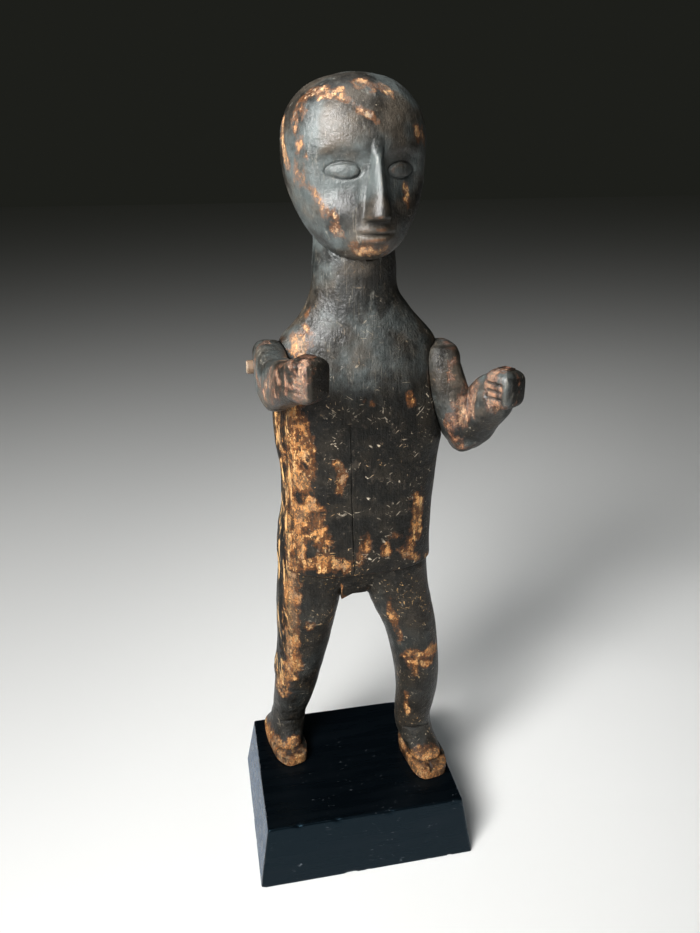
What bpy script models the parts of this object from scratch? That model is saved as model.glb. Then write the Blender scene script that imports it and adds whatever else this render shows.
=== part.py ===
"""Carved wooden ancestor figure with pegged arms, standing on a bevelled block.

Metres, +Z up. The origin is the middle of the plinth's underside and the figure faces -Y.
The figure's pose, proportions and carving are shares of its own height; the plinth, the pegs
and the fits are sizes of their own.
"""
import bpy
import bmesh
import numpy as np
from math import pi, radians

# Plinth: a block whose four sides lean in
PLINTH_WIDTH = 0.170
PLINTH_DEPTH = 0.138
PLINTH_HEIGHT = 0.050
PLINTH_LEAN = 0.0075
PLINTH_EDGE = 0.0008

# Figure, from the soles to the crown
FIGURE_HEIGHT = 0.515

# Shoulder pegs
PEG_DIAMETER = 0.009
PEG_IN_BODY = 0.016
RIGHT_PEG_PROUD = 0.0045
LEFT_PEG_PROUD = 0.0006
PEG_EDGE = 0.0012

# Fits between separate pieces
SEAT_GAP = 0.0003
SHOULDER_GAP = 0.0004
PEG_CLEARANCE = 0.0003

# One module is a hundredth of the figure's height; the free forms below are in modules
MODULE = FIGURE_HEIGHT / 100
FIGURE_BASE = PLINTH_HEIGHT + SEAT_GAP

# height, centre x, centre y, half width, half depth, squareness
TORSO = (
    (36.4, 0.80, 1.9, 11.15, 5.30, 2.6),
    (39.4, 0.65, 1.9, 11.15, 5.60, 2.6),
    (46.6, 1.15, 1.8, 10.75, 5.50, 2.5),
    (52.0, 1.30, 1.6, 10.95, 5.30, 2.5),
    (57.8, 1.30, 1.6, 11.60, 5.60, 2.5),
    (62.5, 1.20, 1.5, 11.45, 5.50, 2.4),
    (66.2, 1.05, 1.5, 11.00, 5.30, 2.3),
    (69.6, 0.95, 1.5, 10.00, 5.00, 2.2),
    (72.6, 0.90, 1.6, 7.35, 4.75, 2.1),
    (75.4, 0.55, 1.6, 5.70, 4.60, 2.0),
    (79.0, 0.50, 1.6, 5.35, 4.55, 2.0),
    (85.0, 0.50, 1.6, 4.90, 4.20, 2.0),
)
HEM_RISE = 0.5
FORK = (
    (31.5, 0.50, 2.7, 3.2, 2.8, 3.0),
    (33.5, 0.45, 2.5, 4.2, 3.6, 3.0),
    (38.0, 0.40, 2.0, 5.2, 4.6, 3.0),
)
FORK_TAB = {"centre": (-1.45, -0.35, 33.6), "size": (0.95, 1.3, 4.6)}
RIGHT_LEG = (
    (1.2, -10.2, 7.0, 2.0, 2.6, 2.2),
    (5.4, -9.35, 6.9, 2.65, 2.9, 2.2),
    (10.5, -8.40, 6.0, 3.20, 3.1, 2.2),
    (16.5, -7.60, 4.9, 3.62, 3.4, 2.3),
    (21.8, -6.90, 4.0, 3.98, 3.7, 2.4),
    (30.7, -6.10, 2.8, 4.75, 4.2, 2.6),
    (38.0, -5.10, 2.2, 5.20, 4.5, 2.6),
)
LEFT_LEG = (
    (1.2, 11.2, 0.9, 2.2, 2.5, 2.2),
    (6.2, 10.25, 0.9, 2.78, 2.9, 2.2),
    (12.6, 10.60, 0.7, 3.25, 3.1, 2.2),
    (18.1, 10.30, 0.8, 3.50, 3.4, 2.3),
    (24.0, 9.35, 1.2, 3.95, 3.7, 2.3),
    (30.7, 7.45, 1.8, 4.75, 4.1, 2.3),
    (38.0, 6.50, 2.0, 4.80, 4.3, 2.3),
)

# Feet: place of the heel, direction, length and half widths in plan
FOOT_LENGTH = 11.6
SOLE_THICKNESS = 1.75
SOLE_ROUND = 0.2
SOLE_LIP = 0.42
TOE_STEP = 1.7
UPPER_OVERLAP = 0.3
ANKLE_EASE = 0.1
RIGHT_FOOT = {"heel": (-11.5, 11.3), "turn": 13.0, "heel_half": 2.6, "ball_half": 2.85}
LEFT_FOOT = {"heel": (10.65, 4.5), "turn": 6.5, "heel_half": 2.85, "ball_half": 3.15}

# Head: an egg whose chin stands forward of the neck, turned a little to the figure's left
HEAD_CENTRE = (0.45, 1.6, 92.2)
HEAD_TURN = 8.0
HEAD_HALF_WIDTH = 8.65
HEAD_ABOVE = 7.8
HEAD_BELOW = 12.5
HEAD_FRONT = 8.0
HEAD_BACK = 8.3
HEAD_FULLNESS = 2.3
CHIN_FORWARD = 3.3

# Face on the usual canon: eyes half way down, one eye wide apart, nose base and mouth below
EYE_LEVEL = (HEAD_ABOVE - HEAD_BELOW) / 2
EYE_WIDTH = HEAD_HALF_WIDTH / 2.5
EYE_HALF_HEIGHT = 0.85
EYE_SWELL = 0.42
SOCKET_REACH = 2.9
SOCKET_DEPTH = 0.85
BROW_LEVEL = EYE_LEVEL + 0.55 * EYE_WIDTH
BROW_ARCH = 0.25
BROW_EDGE = 0.28
NOSE_BASE = (EYE_LEVEL - HEAD_BELOW) / 2
NOSE_AT_ROOT = {"half": 0.75, "out": 0.75}
NOSE_AT_BASE = {"half": 1.70, "out": 2.30}
MOUTH_LEVEL = NOSE_BASE - (NOSE_BASE + HEAD_BELOW) / 3
MOUTH_HALF = 0.75 * EYE_WIDTH
UPPER_LIP = {"above": 0.50, "reach": 0.42, "out": 0.42}
LOWER_LIP = {"above": -0.62, "reach": 0.50, "out": 0.46}
MOUTH_LINE = {"above": 0.0, "reach": 0.17, "out": -0.25}
MUZZLE_REACH = (3.0, 2.0)
MUZZLE_SWELL = 0.45
CHIN_REACH = (2.0, 1.2)
CHIN_SWELL = 0.5

# Shoulders: the middle of each arm's root, and how far its two roots stand from the body's axis
SHOULDER_X = 0.65
SHOULDER_Y = 0.4
SHOULDER_Z = 66.5
SHOULDER_REACH = 11.2
RIGHT_ARM_HALF = 2.15
LEFT_ARM_HALF = 2.4
ARM_SQUARENESS = 2.5

# x outward, y and z from the middle of the arm's root, half thickness, half height
RIGHT_UPPER_ARM = (
    (0.0, 3.4, 0.1, 0.7, 0.9),
    (0.0, 3.0, 0.1, 1.6, 2.0),
    (0.0, 1.9, 0.0, 2.05, 3.0),
    (0.0, 0.0, -0.3, RIGHT_ARM_HALF, 3.5),
    (0.0, -3.0, -0.7, RIGHT_ARM_HALF, 3.5),
    (-0.1, -5.3, -1.0, 2.0, 3.2),
    (-0.2, -7.0, -1.1, 1.4, 2.2),
    (-0.2, -7.6, -1.1, 0.6, 0.9),
)
RIGHT_FOREARM = (
    (-0.3, -2.6, -0.7, 1.6, 2.5),
    (-0.4, -4.4, -0.8, 2.1, 3.0),
    (-1.0, -7.8, 0.0, 2.15, 2.75),
    (-1.8, -10.8, 1.0, 2.05, 2.5),
    (-2.5, -12.6, 1.8, 1.8, 2.2),
)
RIGHT_FIST = {"centre": (-2.75, -13.2, 2.0), "turn": -8.0, "flatness": 5.0}
LEFT_UPPER_ARM = (
    (-0.1, -0.1, 2.25, 0.9, 1.1),
    (-0.1, -0.1, 1.90, 1.6, 2.0),
    (-0.1, -0.2, 1.00, 2.2, 3.0),
    (0.0, -0.3, -0.8, LEFT_ARM_HALF, 3.6),
    (0.8, -0.9, -4.2, 2.6, 3.6),
    (2.2, -1.4, -7.6, 2.7, 3.4),
    (3.5, -1.7, -10.4, 2.5, 2.9),
    (4.2, -1.8, -11.9, 1.8, 2.0),
    (4.4, -1.8, -12.4, 0.8, 0.9),
)
LEFT_FOREARM = (
    (3.2, 0.9, -11.8, 1.0, 1.3),
    (3.5, 0.2, -11.2, 2.0, 2.3),
    (4.0, -1.4, -9.5, 2.6, 2.9),
    (4.9, -4.0, -6.2, 2.5, 3.0),
    (5.7, -6.5, -3.3, 2.3, 2.6),
    (6.1, -7.6, -2.3, 1.9, 2.1),
)
LEFT_FIST = {"centre": (6.15, -7.9, -2.3), "turn": -18.0, "flatness": 3.0}

# A fist is an upright block with a sharp arris in front, grooved on one facet for the fingers
FIST_HALF = (2.45, 2.3, 2.6)
FIST_SQUARENESS = 1.45
FINGERS = 4
FINGER_LENGTH = 2.1
FINGER_GROOVE = 0.22
FINGER_PITCH = 0.95


def scene_emptied():
    """Remove whatever objects the opened file holds."""
    for thing in list(bpy.data.objects):
        bpy.data.objects.remove(thing, do_unlink=True)


def collection(name):
    """Return a new collection, linked to the scene."""
    group = bpy.data.collections.new(name)
    bpy.context.scene.collection.children.link(group)
    return group


def material(name, colour, roughness):
    """Return a material with one colour and roughness, not metallic."""
    surface = bpy.data.materials.new(name)
    surface.use_nodes = True
    shader = surface.node_tree.nodes["Principled BSDF"]
    shader.inputs["Base Color"].default_value = (*colour, 1.0)
    shader.inputs["Roughness"].default_value = roughness
    shader.inputs["Metallic"].default_value = 0.0
    return surface


def mesh_object(name, mesh, group, surface=None):
    """Link a mesh as an object in a collection, with its material."""
    thing = bpy.data.objects.new(name, mesh)
    group.objects.link(thing)
    if surface is not None:
        mesh.materials.append(surface)
    return thing


def mesh_of(name, bm):
    """Turn a bmesh into a mesh with its faces pointing out."""
    bm.normal_update()
    bmesh.ops.recalc_face_normals(bm, faces=bm.faces)
    mesh = bpy.data.meshes.new(name)
    bm.to_mesh(mesh)
    bm.free()
    return mesh


def cutter(name, mesh, group):
    """Link a mesh that only shapes another piece and is not part of the model."""
    thing = mesh_object(name, mesh, group)
    thing.hide_render = True
    thing.display_type = "WIRE"
    return thing


def shaped_by(thing, tool, operation):
    """Add an exact Boolean to a piece."""
    step = thing.modifiers.new(tool.name, "BOOLEAN")
    step.operation = operation
    step.solver = "EXACT"
    step.object = tool


def smooth_rows(rows, count):
    """Read rows at even steps of their own length, on a cubic curve through them."""
    rows = np.array(rows, float)
    run = np.linalg.norm(np.diff(rows[:, :3], axis=0), axis=1)
    key = np.concatenate(([0.0], np.cumsum(run)))
    slope = np.gradient(rows, key, axis=0)
    at = np.linspace(0.0, key[-1], count)
    i = np.clip(np.searchsorted(key, at, side="right") - 1, 0, len(key) - 2)
    step = (key[i + 1] - key[i])[:, None]
    t = (at - key[i])[:, None] / step
    start = (1 + 2 * t) * (1 - t) ** 2 * rows[i] + t * (1 - t) ** 2 * step * slope[i]
    end = t * t * (3 - 2 * t) * rows[i + 1] + t * t * (t - 1) * step * slope[i + 1]
    return start + end


def superellipse(count, half_a, half_b, squareness):
    """Points of |a|^n + |b|^n = 1 scaled by two half sizes, one row for each pair of sizes."""
    turn = 2 * pi * np.arange(count) / count
    power = 2 / np.asarray(squareness)[:, None]
    a = np.sign(np.cos(turn)) * np.abs(np.cos(turn)) ** power
    b = np.sign(np.sin(turn)) * np.abs(np.sin(turn)) ** power
    return a * np.asarray(half_a)[:, None], b * np.asarray(half_b)[:, None]


def loft(name, rings):
    """Skin rings of equal point counts with quads and close both ends with one face each."""
    bm = bmesh.new()
    grid = [[bm.verts.new(point) for point in ring] for ring in rings]
    around = len(grid[0])
    for low, high in zip(grid, grid[1:]):
        for i in range(around):
            j = (i + 1) % around
            bm.faces.new((low[i], low[j], high[j], high[i]))
    bm.faces.new(grid[0][::-1])
    bm.faces.new(grid[-1])
    return mesh_of(name, bm)


def placed(points):
    """Points in modules above the soles, in metres above the floor."""
    return points * MODULE + np.array((0.0, 0.0, FIGURE_BASE))


def upright_loft(name, stations, levels, around, sides_rise=0.0):
    """Loft level superellipse sections through a table of stations.

    The lowest section's two sides may be lifted, which fades out in the first tenth above it.
    """
    stations = np.array(stations, float)
    table = np.column_stack((stations[:, 1:3], stations[:, 0], stations[:, 3:]))
    rows = smooth_rows(table, levels)
    a, b = superellipse(around, rows[:, 3], rows[:, 4], rows[:, 5])
    x = rows[:, :1] + a
    y = rows[:, 1:2] + b
    above = (rows[:, 2:3] - rows[0, 2]) / (rows[-1, 2] - rows[0, 2])
    lift = sides_rise * (a / rows[:, 3:4]) ** 2 * np.clip(1 - 10 * above, 0, 1)
    z = rows[:, 2:3] + lift
    return loft(name, placed(np.stack((x, y, z), axis=-1)))


def limb_loft(name, stations, side, levels, around, grown=0.0):
    """Loft sections square to a limb's own line, its thickness kept level.

    Each section's first axis is the world X made square to the line, and its second axis is
    square to both. Every half size is grown by the same amount for a seat that fits round it.
    """
    rows = smooth_rows(stations, levels)
    line = rows[:, :3] * (side, 1, 1)
    line += (SHOULDER_X + side * SHOULDER_REACH, SHOULDER_Y, SHOULDER_Z)
    along = np.gradient(line, axis=0)
    along /= np.linalg.norm(along, axis=1, keepdims=True)
    across = np.array((1.0, 0.0, 0.0)) - along[:, :1] * along
    across /= np.linalg.norm(across, axis=1, keepdims=True)
    rise = np.cross(along, across)
    spread = grown / MODULE
    square = np.full(levels, ARM_SQUARENESS)
    a, b = superellipse(around, rows[:, 3] + spread, rows[:, 4] + spread, square)
    line[0] -= along[0] * spread
    line[-1] += along[-1] * spread
    rings = line[:, None] + a[..., None] * across[:, None] + b[..., None] * rise[:, None]
    return loft(name, placed(rings))


def sole_plan(foot, t, inset):
    """Plan of a sole: its half width eases from heel to ball, closed by round ends."""
    width = foot["heel_half"] + (foot["ball_half"] - foot["heel_half"]) * (1 - np.cos(t)) / 2
    half = FOOT_LENGTH / 2 - inset
    forward = half * (1 - np.sign(np.cos(t)) * np.abs(np.cos(t)) ** 0.8)
    sideways = (width - inset) * np.sign(np.sin(t)) * np.abs(np.sin(t)) ** 0.62
    return forward + inset, sideways


def on_foot(foot, forward, sideways):
    """Turn distances from the heel into x and y, with the toes towards -Y."""
    turn = radians(foot["turn"])
    x = foot["heel"][0] + forward * np.sin(turn) + sideways * np.cos(turn)
    y = foot["heel"][1] - forward * np.cos(turn) + sideways * np.sin(turn)
    return x, y


def sole_mesh(name, foot, around=26):
    """The thick sole band: the plan carried up, with both edges eased."""
    t = 2 * pi * np.arange(around) / around
    top = SOLE_THICKNESS
    rings = []
    for level, inset in ((0.0, SOLE_ROUND), (SOLE_ROUND, 0.0), (top - SOLE_ROUND, 0.0), (top, SOLE_ROUND)):
        x, y = on_foot(foot, *sole_plan(foot, t, inset))
        rings.append(np.column_stack((x, y, np.full(around, level))))
    return loft(name, placed(np.array(rings)))


def upper_mesh(name, foot, leg, levels=7, around=22):
    """The foot above its sole: the plan shrinks to the ankle, with a step behind the toes.

    It starts inside the sole and ends inside the leg, and its lowest sixth rises straight.
    """
    t = 2 * pi * np.arange(around) / around
    ankle = np.array(leg[1])
    start = SOLE_THICKNESS - UPPER_OVERLAP
    end = ankle[0] + 2 * UPPER_OVERLAP
    turn = radians(foot["turn"])
    forward, sideways = sole_plan(foot, t, SOLE_LIP)
    forward = SOLE_LIP + (forward - SOLE_LIP) * (1 - TOE_STEP / FOOT_LENGTH)
    x, y = on_foot(foot, forward, sideways)
    a = -np.sign(np.cos(t)) * np.abs(np.cos(t)) ** 0.9 * (ankle[4] + ANKLE_EASE)
    b = np.sign(np.sin(t)) * np.abs(np.sin(t)) ** 0.9 * (ankle[3] + ANKLE_EASE)
    ring_x = ankle[1] + a * np.sin(turn) + b * np.cos(turn)
    ring_y = ankle[2] - a * np.cos(turn) + b * np.sin(turn)
    rings = []
    for share in np.linspace(0.0, 1.0, levels):
        blend = 1 - (1 - max(share - 1 / 6, 0.0) * 6 / 5) ** 2.2
        rings.append(np.column_stack((
            x + (ring_x - x) * blend,
            y + (ring_y - y) * blend,
            np.full(around, start + (end - start) * share),
        )))
    return loft(name, placed(np.array(rings)))


def bell(distance, reach, power=2):
    """One in the middle and falling to nothing past its reach, flatter on top as the power rises."""
    return np.exp(-np.abs(distance / reach) ** power)


def past(distance, softness):
    """A soft step from nothing to one as a distance turns positive."""
    return 1 / (1 + np.exp(-distance / softness))


def face_relief(x, z):
    """How far the carving stands out of the egg, in modules.

    Sockets step in below two brow arcs, a wedge of a nose widens to its base, almond eyes
    swell in the sockets, and closed lips and a chin swell below.
    """
    half = np.abs(x)
    eye_x = half - EYE_WIDTH
    eye_z = z - EYE_LEVEL
    brow = BROW_LEVEL + BROW_ARCH * (1 - (eye_x / (EYE_WIDTH / 2)) ** 2)
    socket = past(brow - z, BROW_EDGE) * bell(eye_x, SOCKET_REACH, 4) * bell(eye_z + 0.5, SOCKET_REACH, 4)
    almond = np.clip(1 - (2 * eye_x / EYE_WIDTH) ** 2 - (eye_z / EYE_HALF_HEIGHT) ** 2, 0, 1)
    down = np.clip((BROW_LEVEL - z) / (BROW_LEVEL - NOSE_BASE), 0, 1)
    nose_half = NOSE_AT_ROOT["half"] + (NOSE_AT_BASE["half"] - NOSE_AT_ROOT["half"]) * down ** 1.5
    nose_out = NOSE_AT_ROOT["out"] + (NOSE_AT_BASE["out"] - NOSE_AT_ROOT["out"]) * down
    wedge = np.clip(1 - (half / nose_half) ** 2, 0, 1) ** 0.7
    nose = nose_out * wedge * past(z - NOSE_BASE, 0.12) * past(BROW_LEVEL + 0.2 - z, 0.5)
    mouth_z = z - MOUTH_LEVEL
    parts = (UPPER_LIP, LOWER_LIP, MOUTH_LINE)
    lips = sum(part["out"] * bell(mouth_z - part["above"], part["reach"]) for part in parts)
    lips = lips * np.clip(1 - (half / MOUTH_HALF) ** 2, 0, 1)
    muzzle = MUZZLE_SWELL * bell(half, MUZZLE_REACH[0]) * bell(mouth_z, MUZZLE_REACH[1])
    chin_z = z + HEAD_BELOW - CHIN_REACH[1]
    chin = CHIN_SWELL * bell(half, CHIN_REACH[0]) * bell(chin_z, CHIN_REACH[1])
    return nose + lips + muzzle + chin + EYE_SWELL * np.sqrt(almond) - SOCKET_DEPTH * socket


def head_mesh(name, around=48, levels=34):
    """An egg from a sphere, with its points drawn to the face, and the face carved on it."""
    bm = bmesh.new()
    bmesh.ops.create_uvsphere(bm, u_segments=around, v_segments=levels, radius=1.0)
    unit = np.array([vert.co for vert in bm.verts])
    azimuth = np.arctan2(unit[:, 0], -unit[:, 1])
    azimuth = azimuth - 0.5 * np.sin(azimuth)
    polar = np.arccos(np.clip(unit[:, 2], -1, 1)) / pi
    polar = pi * np.interp(polar, (0, 0.25, 0.62, 1), (0, 0.47, 0.645, 1))
    up = np.cos(polar)
    out = (1 - np.abs(up) ** HEAD_FULLNESS) ** (1 / HEAD_FULLNESS)
    low = np.clip(-up, 0, 1)
    x = HEAD_HALF_WIDTH * out * np.sin(azimuth) * (1 - 0.10 * low ** 2)
    facing = np.cos(azimuth)
    y = -out * facing * np.where(facing > 0, HEAD_FRONT, HEAD_BACK) - CHIN_FORWARD * low ** 2
    z = up * np.where(up > 0, HEAD_ABOVE, HEAD_BELOW)
    front = np.clip((facing * out - 0.15) / 0.4, 0, 1)
    y -= face_relief(x, z) * front * front * (3 - 2 * front)
    turn = radians(HEAD_TURN)
    world = np.column_stack((
        HEAD_CENTRE[0] + x * np.cos(turn) - y * np.sin(turn),
        HEAD_CENTRE[1] + x * np.sin(turn) + y * np.cos(turn),
        HEAD_CENTRE[2] + z,
    ))
    for vert, place in zip(bm.verts, placed(world)):
        vert.co = place
    return mesh_of(name, bm)


def fist_place(fist, side, points):
    """Turn points about a fist's upright axis and move them to its centre."""
    turn = radians(fist["turn"])
    x = points[..., 0] * np.cos(turn) - points[..., 1] * np.sin(turn)
    y = points[..., 0] * np.sin(turn) + points[..., 1] * np.cos(turn)
    centre = np.array(fist["centre"]) * (side, 1, 1)
    centre += (SHOULDER_X + side * SHOULDER_REACH, SHOULDER_Y, SHOULDER_Z)
    return placed(centre + np.stack((x, y, points[..., 2]), axis=-1))


def fist_mesh(name, fist, side, levels=8, around=20):
    """A closed hand: an upright block, four-cornered in plan, that rounds over above and below."""
    share = np.sin(np.linspace(-pi / 2, pi / 2, levels))
    size = np.maximum((1 - np.abs(share) ** fist["flatness"]) ** 0.45, 0.45)
    square = np.full(levels, FIST_SQUARENESS)
    a, b = superellipse(around, FIST_HALF[0] * size, FIST_HALF[1] * size, square)
    z = np.broadcast_to((share * FIST_HALF[2])[:, None], a.shape)
    return loft(name, fist_place(fist, side, np.stack((a, b, z), axis=-1)))


def finger_grooves(name, fist, side):
    """Round bars that lie along a fist's left front facet, one between each two fingers."""
    bm = bmesh.new()
    corner = np.array((0.0, -FIST_HALF[1]))
    flank = np.array((-FIST_HALF[0], 0.0))
    run = (flank - corner) / np.linalg.norm(flank - corner)
    middle = (corner + flank) * 0.5 ** (1 / FIST_SQUARENESS)
    radius = FINGER_GROOVE
    for k in range(FINGERS - 1):
        bar = bmesh.ops.create_cone(
            bm, cap_ends=True, segments=8, radius1=radius, radius2=radius, depth=FINGER_LENGTH
        )
        level = (k + 1 - FINGERS / 2) * FINGER_PITCH
        for vert in bar["verts"]:
            along = vert.co.z
            x = middle[0] + run[0] * along - run[1] * vert.co.x
            y = middle[1] + run[1] * along + run[0] * vert.co.x
            place = np.array((x, y, level + vert.co.y))
            vert.co = fist_place(fist, side, place)
    return mesh_of(name, bm)


def peg_mesh(name, radius, length):
    """A round peg along X from its inner end at 0 to its outer end at its length."""
    bm = bmesh.new()
    bmesh.ops.create_cone(
        bm, cap_ends=True, segments=16, radius1=radius, radius2=radius, depth=length
    )
    for vert in bm.verts:
        x = vert.co.z + length / 2
        vert.co = (x, vert.co.y, -vert.co.x)
    return mesh_of(name, bm)


scene_emptied()
model = collection("ancestor_figure")
cutters = collection("cutters")
black_stain = material("black_stained_wood", (0.012, 0.013, 0.016), 0.42)
dark_wood = material("dark_patinated_wood", (0.052, 0.040, 0.034), 0.55)
peg_wood = material("bare_peg_wood", (0.36, 0.24, 0.15), 0.60)

# Plinth
bm = bmesh.new()
bmesh.ops.create_cube(bm, size=1.0)
for vert in bm.verts:
    lean = PLINTH_LEAN if vert.co.z > 0 else 0.0
    vert.co.x = np.sign(vert.co.x) * (PLINTH_WIDTH / 2 - lean)
    vert.co.y = np.sign(vert.co.y) * (PLINTH_DEPTH / 2 - lean)
    vert.co.z = (vert.co.z + 0.5) * PLINTH_HEIGHT
plinth = mesh_object("plinth", mesh_of("plinth", bm), model, black_stain)
edge = plinth.modifiers.new("eased_edges", "BEVEL")
edge.width = PLINTH_EDGE
edge.segments = 2

# Body: torso and neck, head, fork, legs and feet, carved as one
body_mesh = upright_loft("torso_and_neck", TORSO, levels=20, around=32, sides_rise=HEM_RISE)
body = mesh_object("figure_body", body_mesh, model, dark_wood)
shaped_by(body, cutter("head", head_mesh("head"), cutters), "UNION")
shaped_by(body, cutter("fork", upright_loft("fork", FORK, 4, 20), cutters), "UNION")
bm = bmesh.new()
bmesh.ops.create_cube(bm, size=1.0)
for vert in bm.verts:
    vert.co = placed(np.array(vert.co) * FORK_TAB["size"] + FORK_TAB["centre"])
shaped_by(body, cutter("fork_tab", mesh_of("fork_tab", bm), cutters), "UNION")
for name, foot, leg in (("right", RIGHT_FOOT, RIGHT_LEG), ("left", LEFT_FOOT, LEFT_LEG)):
    limb = upright_loft(name + "_leg", leg, levels=10, around=20)
    shaped_by(body, cutter(name + "_leg", limb, cutters), "UNION")
    upper = upper_mesh(name + "_upper", foot, leg)
    shaped_by(body, cutter(name + "_upper", upper, cutters), "UNION")
    sole = sole_mesh(name + "_sole", foot)
    shaped_by(body, cutter(name + "_sole", sole, cutters), "UNION")

# Arms: each is let into a seat in the shoulder and held by one peg
right = ("right", -1, RIGHT_UPPER_ARM, RIGHT_FOREARM, RIGHT_FIST, RIGHT_ARM_HALF, RIGHT_PEG_PROUD)
left = ("left", 1, LEFT_UPPER_ARM, LEFT_FOREARM, LEFT_FIST, LEFT_ARM_HALF, LEFT_PEG_PROUD)
for name, side, upper_arm, forearm, fist, arm_half, peg_proud in (right, left):
    arm_mesh = limb_loft(name + "_upper_arm", upper_arm, side, levels=12, around=20)
    arm = mesh_object(name + "_arm", arm_mesh, model, dark_wood)
    lower = limb_loft(name + "_forearm", forearm, side, levels=7, around=20)
    shaped_by(arm, cutter(name + "_forearm", lower, cutters), "UNION")
    hand = fist_mesh(name + "_fist", fist, side)
    shaped_by(arm, cutter(name + "_fist", hand, cutters), "UNION")
    grooves = finger_grooves(name + "_finger_grooves", fist, side)
    shaped_by(arm, cutter(name + "_finger_grooves", grooves, cutters), "DIFFERENCE")
    seat = limb_loft(name + "_seat", upper_arm, side, 12, 20, grown=SHOULDER_GAP)
    shaped_by(body, cutter(name + "_seat", seat, cutters), "DIFFERENCE")

    seat_x = SHOULDER_X + side * (SHOULDER_REACH - arm_half)
    inner = seat_x * MODULE - side * PEG_IN_BODY
    length = PEG_IN_BODY + 2 * arm_half * MODULE + peg_proud
    height = FIGURE_BASE + SHOULDER_Z * MODULE
    peg = mesh_object(
        name + "_shoulder_peg",
        peg_mesh(name + "_shoulder_peg", PEG_DIAMETER / 2, length),
        model,
        peg_wood,
    )
    bore = cutter(
        name + "_bore",
        peg_mesh(name + "_bore", PEG_DIAMETER / 2 + PEG_CLEARANCE, length + PEG_CLEARANCE),
        cutters,
    )
    for round_piece, start in ((peg, 0.0), (bore, PEG_CLEARANCE)):
        round_piece.location = (inner - side * start, SHOULDER_Y * MODULE, height)
        round_piece.rotation_euler = (0.0, 0.0, 0.0 if side > 0 else pi)
    eased = peg.modifiers.new("eased_ends", "BEVEL")
    eased.width = PEG_EDGE
    eased.segments = 2
    eased.limit_method = "ANGLE"
    shaped_by(arm, bore, "DIFFERENCE")
    shaped_by(body, bore, "DIFFERENCE")

for thing in model.objects:
    if thing.name != "plinth":
        thing.data.shade_smooth()
        thing.data.set_sharp_from_angle(angle=radians(40))
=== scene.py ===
"""Looks of the carved wooden ancestor figure on its black block.

Metres, +Z up. The figure faces -Y, and the middle of the block's underside is the origin.
"""
from math import pi, radians

import bpy
import numpy as np
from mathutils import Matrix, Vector


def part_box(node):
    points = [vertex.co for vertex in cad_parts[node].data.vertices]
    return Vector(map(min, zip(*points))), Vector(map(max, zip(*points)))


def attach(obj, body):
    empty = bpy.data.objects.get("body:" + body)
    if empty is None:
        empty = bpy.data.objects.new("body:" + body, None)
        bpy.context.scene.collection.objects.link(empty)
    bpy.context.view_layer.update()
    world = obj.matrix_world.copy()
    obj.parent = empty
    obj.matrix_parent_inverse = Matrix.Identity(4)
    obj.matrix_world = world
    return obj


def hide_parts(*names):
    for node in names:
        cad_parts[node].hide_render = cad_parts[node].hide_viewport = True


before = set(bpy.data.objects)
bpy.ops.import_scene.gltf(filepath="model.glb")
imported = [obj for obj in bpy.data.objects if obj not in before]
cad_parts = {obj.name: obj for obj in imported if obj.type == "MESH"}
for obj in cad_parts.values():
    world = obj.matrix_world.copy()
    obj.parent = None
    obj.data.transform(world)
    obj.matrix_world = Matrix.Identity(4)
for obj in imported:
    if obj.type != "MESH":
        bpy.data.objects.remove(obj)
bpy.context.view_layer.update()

# Plinth: one block of hardwood, stained black and rubbed to a low satin. Its four sides are
# planed to lean in and its arrises eased by hand, with small knocks along them. The figure's
# soles stand on its top face.
plinth_low, plinth_high = (np.array(corner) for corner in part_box("plinth"))
plinth_points = np.array([vert.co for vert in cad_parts["plinth"].data.vertices])
plinth_top = plinth_points[plinth_points[:, 2] > plinth_high[2] - 1e-5, :2].max(axis=0)
PLINTH_EASE = 0.0011
PLINTH_EASE_ROWS = 5
PLINTH_COLUMNS = (96, 78)
PLINTH_SIDE_ROWS = 34
PLINTH_FACE_ROWS = 34
KNOCK_DEPTH = 0.0007
KNOCK_REACH = 0.0035
KNOCK_CELL = 0.006
WAVE_HEIGHT = 0.00012
WAVE_CELL = 0.045
STAIN_BLACK = (0.0010, 0.0018, 0.0026, 1.0)
STAIN_BROWN = (0.0020, 0.0028, 0.0038, 1.0)
BLACK_SHINE = 0.23
SHINE_BLUE = (0.36, 0.72, 1.0, 1.0)
PORE_DUST = (0.110, 0.125, 0.140, 1.0)
# Cold light that the satin gives back at a slant
BLACK_SHEEN = {"Sheen Weight": 0.30, "Sheen Roughness": 0.25, "Sheen Tint": (0.04, 0.40, 1.0, 1.0)}
NOISE_VALUES = 4096
NOISE_START = 1000


def value_noise(points, cell, seed):
    """A smooth random field from -1 to 1 on a lattice with the given cell sizes.

    Each of a cell's eight corners has a value from a shuffled table, and a point blends them
    by the quintic 6t^5 - 15t^4 + 10t^3 of its place in the cell along each axis.
    """
    draw = np.random.default_rng(seed)
    value = draw.uniform(-1, 1, NOISE_VALUES)
    shuffle = draw.permutation(NOISE_VALUES)
    place = points / np.asarray(cell, float) + NOISE_START
    low = np.floor(place).astype(int)
    t = place - low
    t = t ** 3 * (t * (6 * t - 15) + 10)
    total = np.zeros(len(points))
    for corner in np.ndindex(2, 2, 2):
        spot = low + corner
        key = shuffle[spot[:, 0] % NOISE_VALUES]
        key = shuffle[(key + spot[:, 1]) % NOISE_VALUES]
        key = shuffle[(key + spot[:, 2]) % NOISE_VALUES]
        share = np.where(corner, t, 1 - t)
        total += value[key] * share.prod(axis=1)
    return total


def rough_noise(points, cell, octaves, seed):
    """Value noise summed over octaves, each half the size and half the height of the last."""
    total = np.zeros(len(points))
    for k in range(octaves):
        total += value_noise(points, np.asarray(cell, float) / 2 ** k, seed + k) / 2 ** k
    return total


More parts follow.
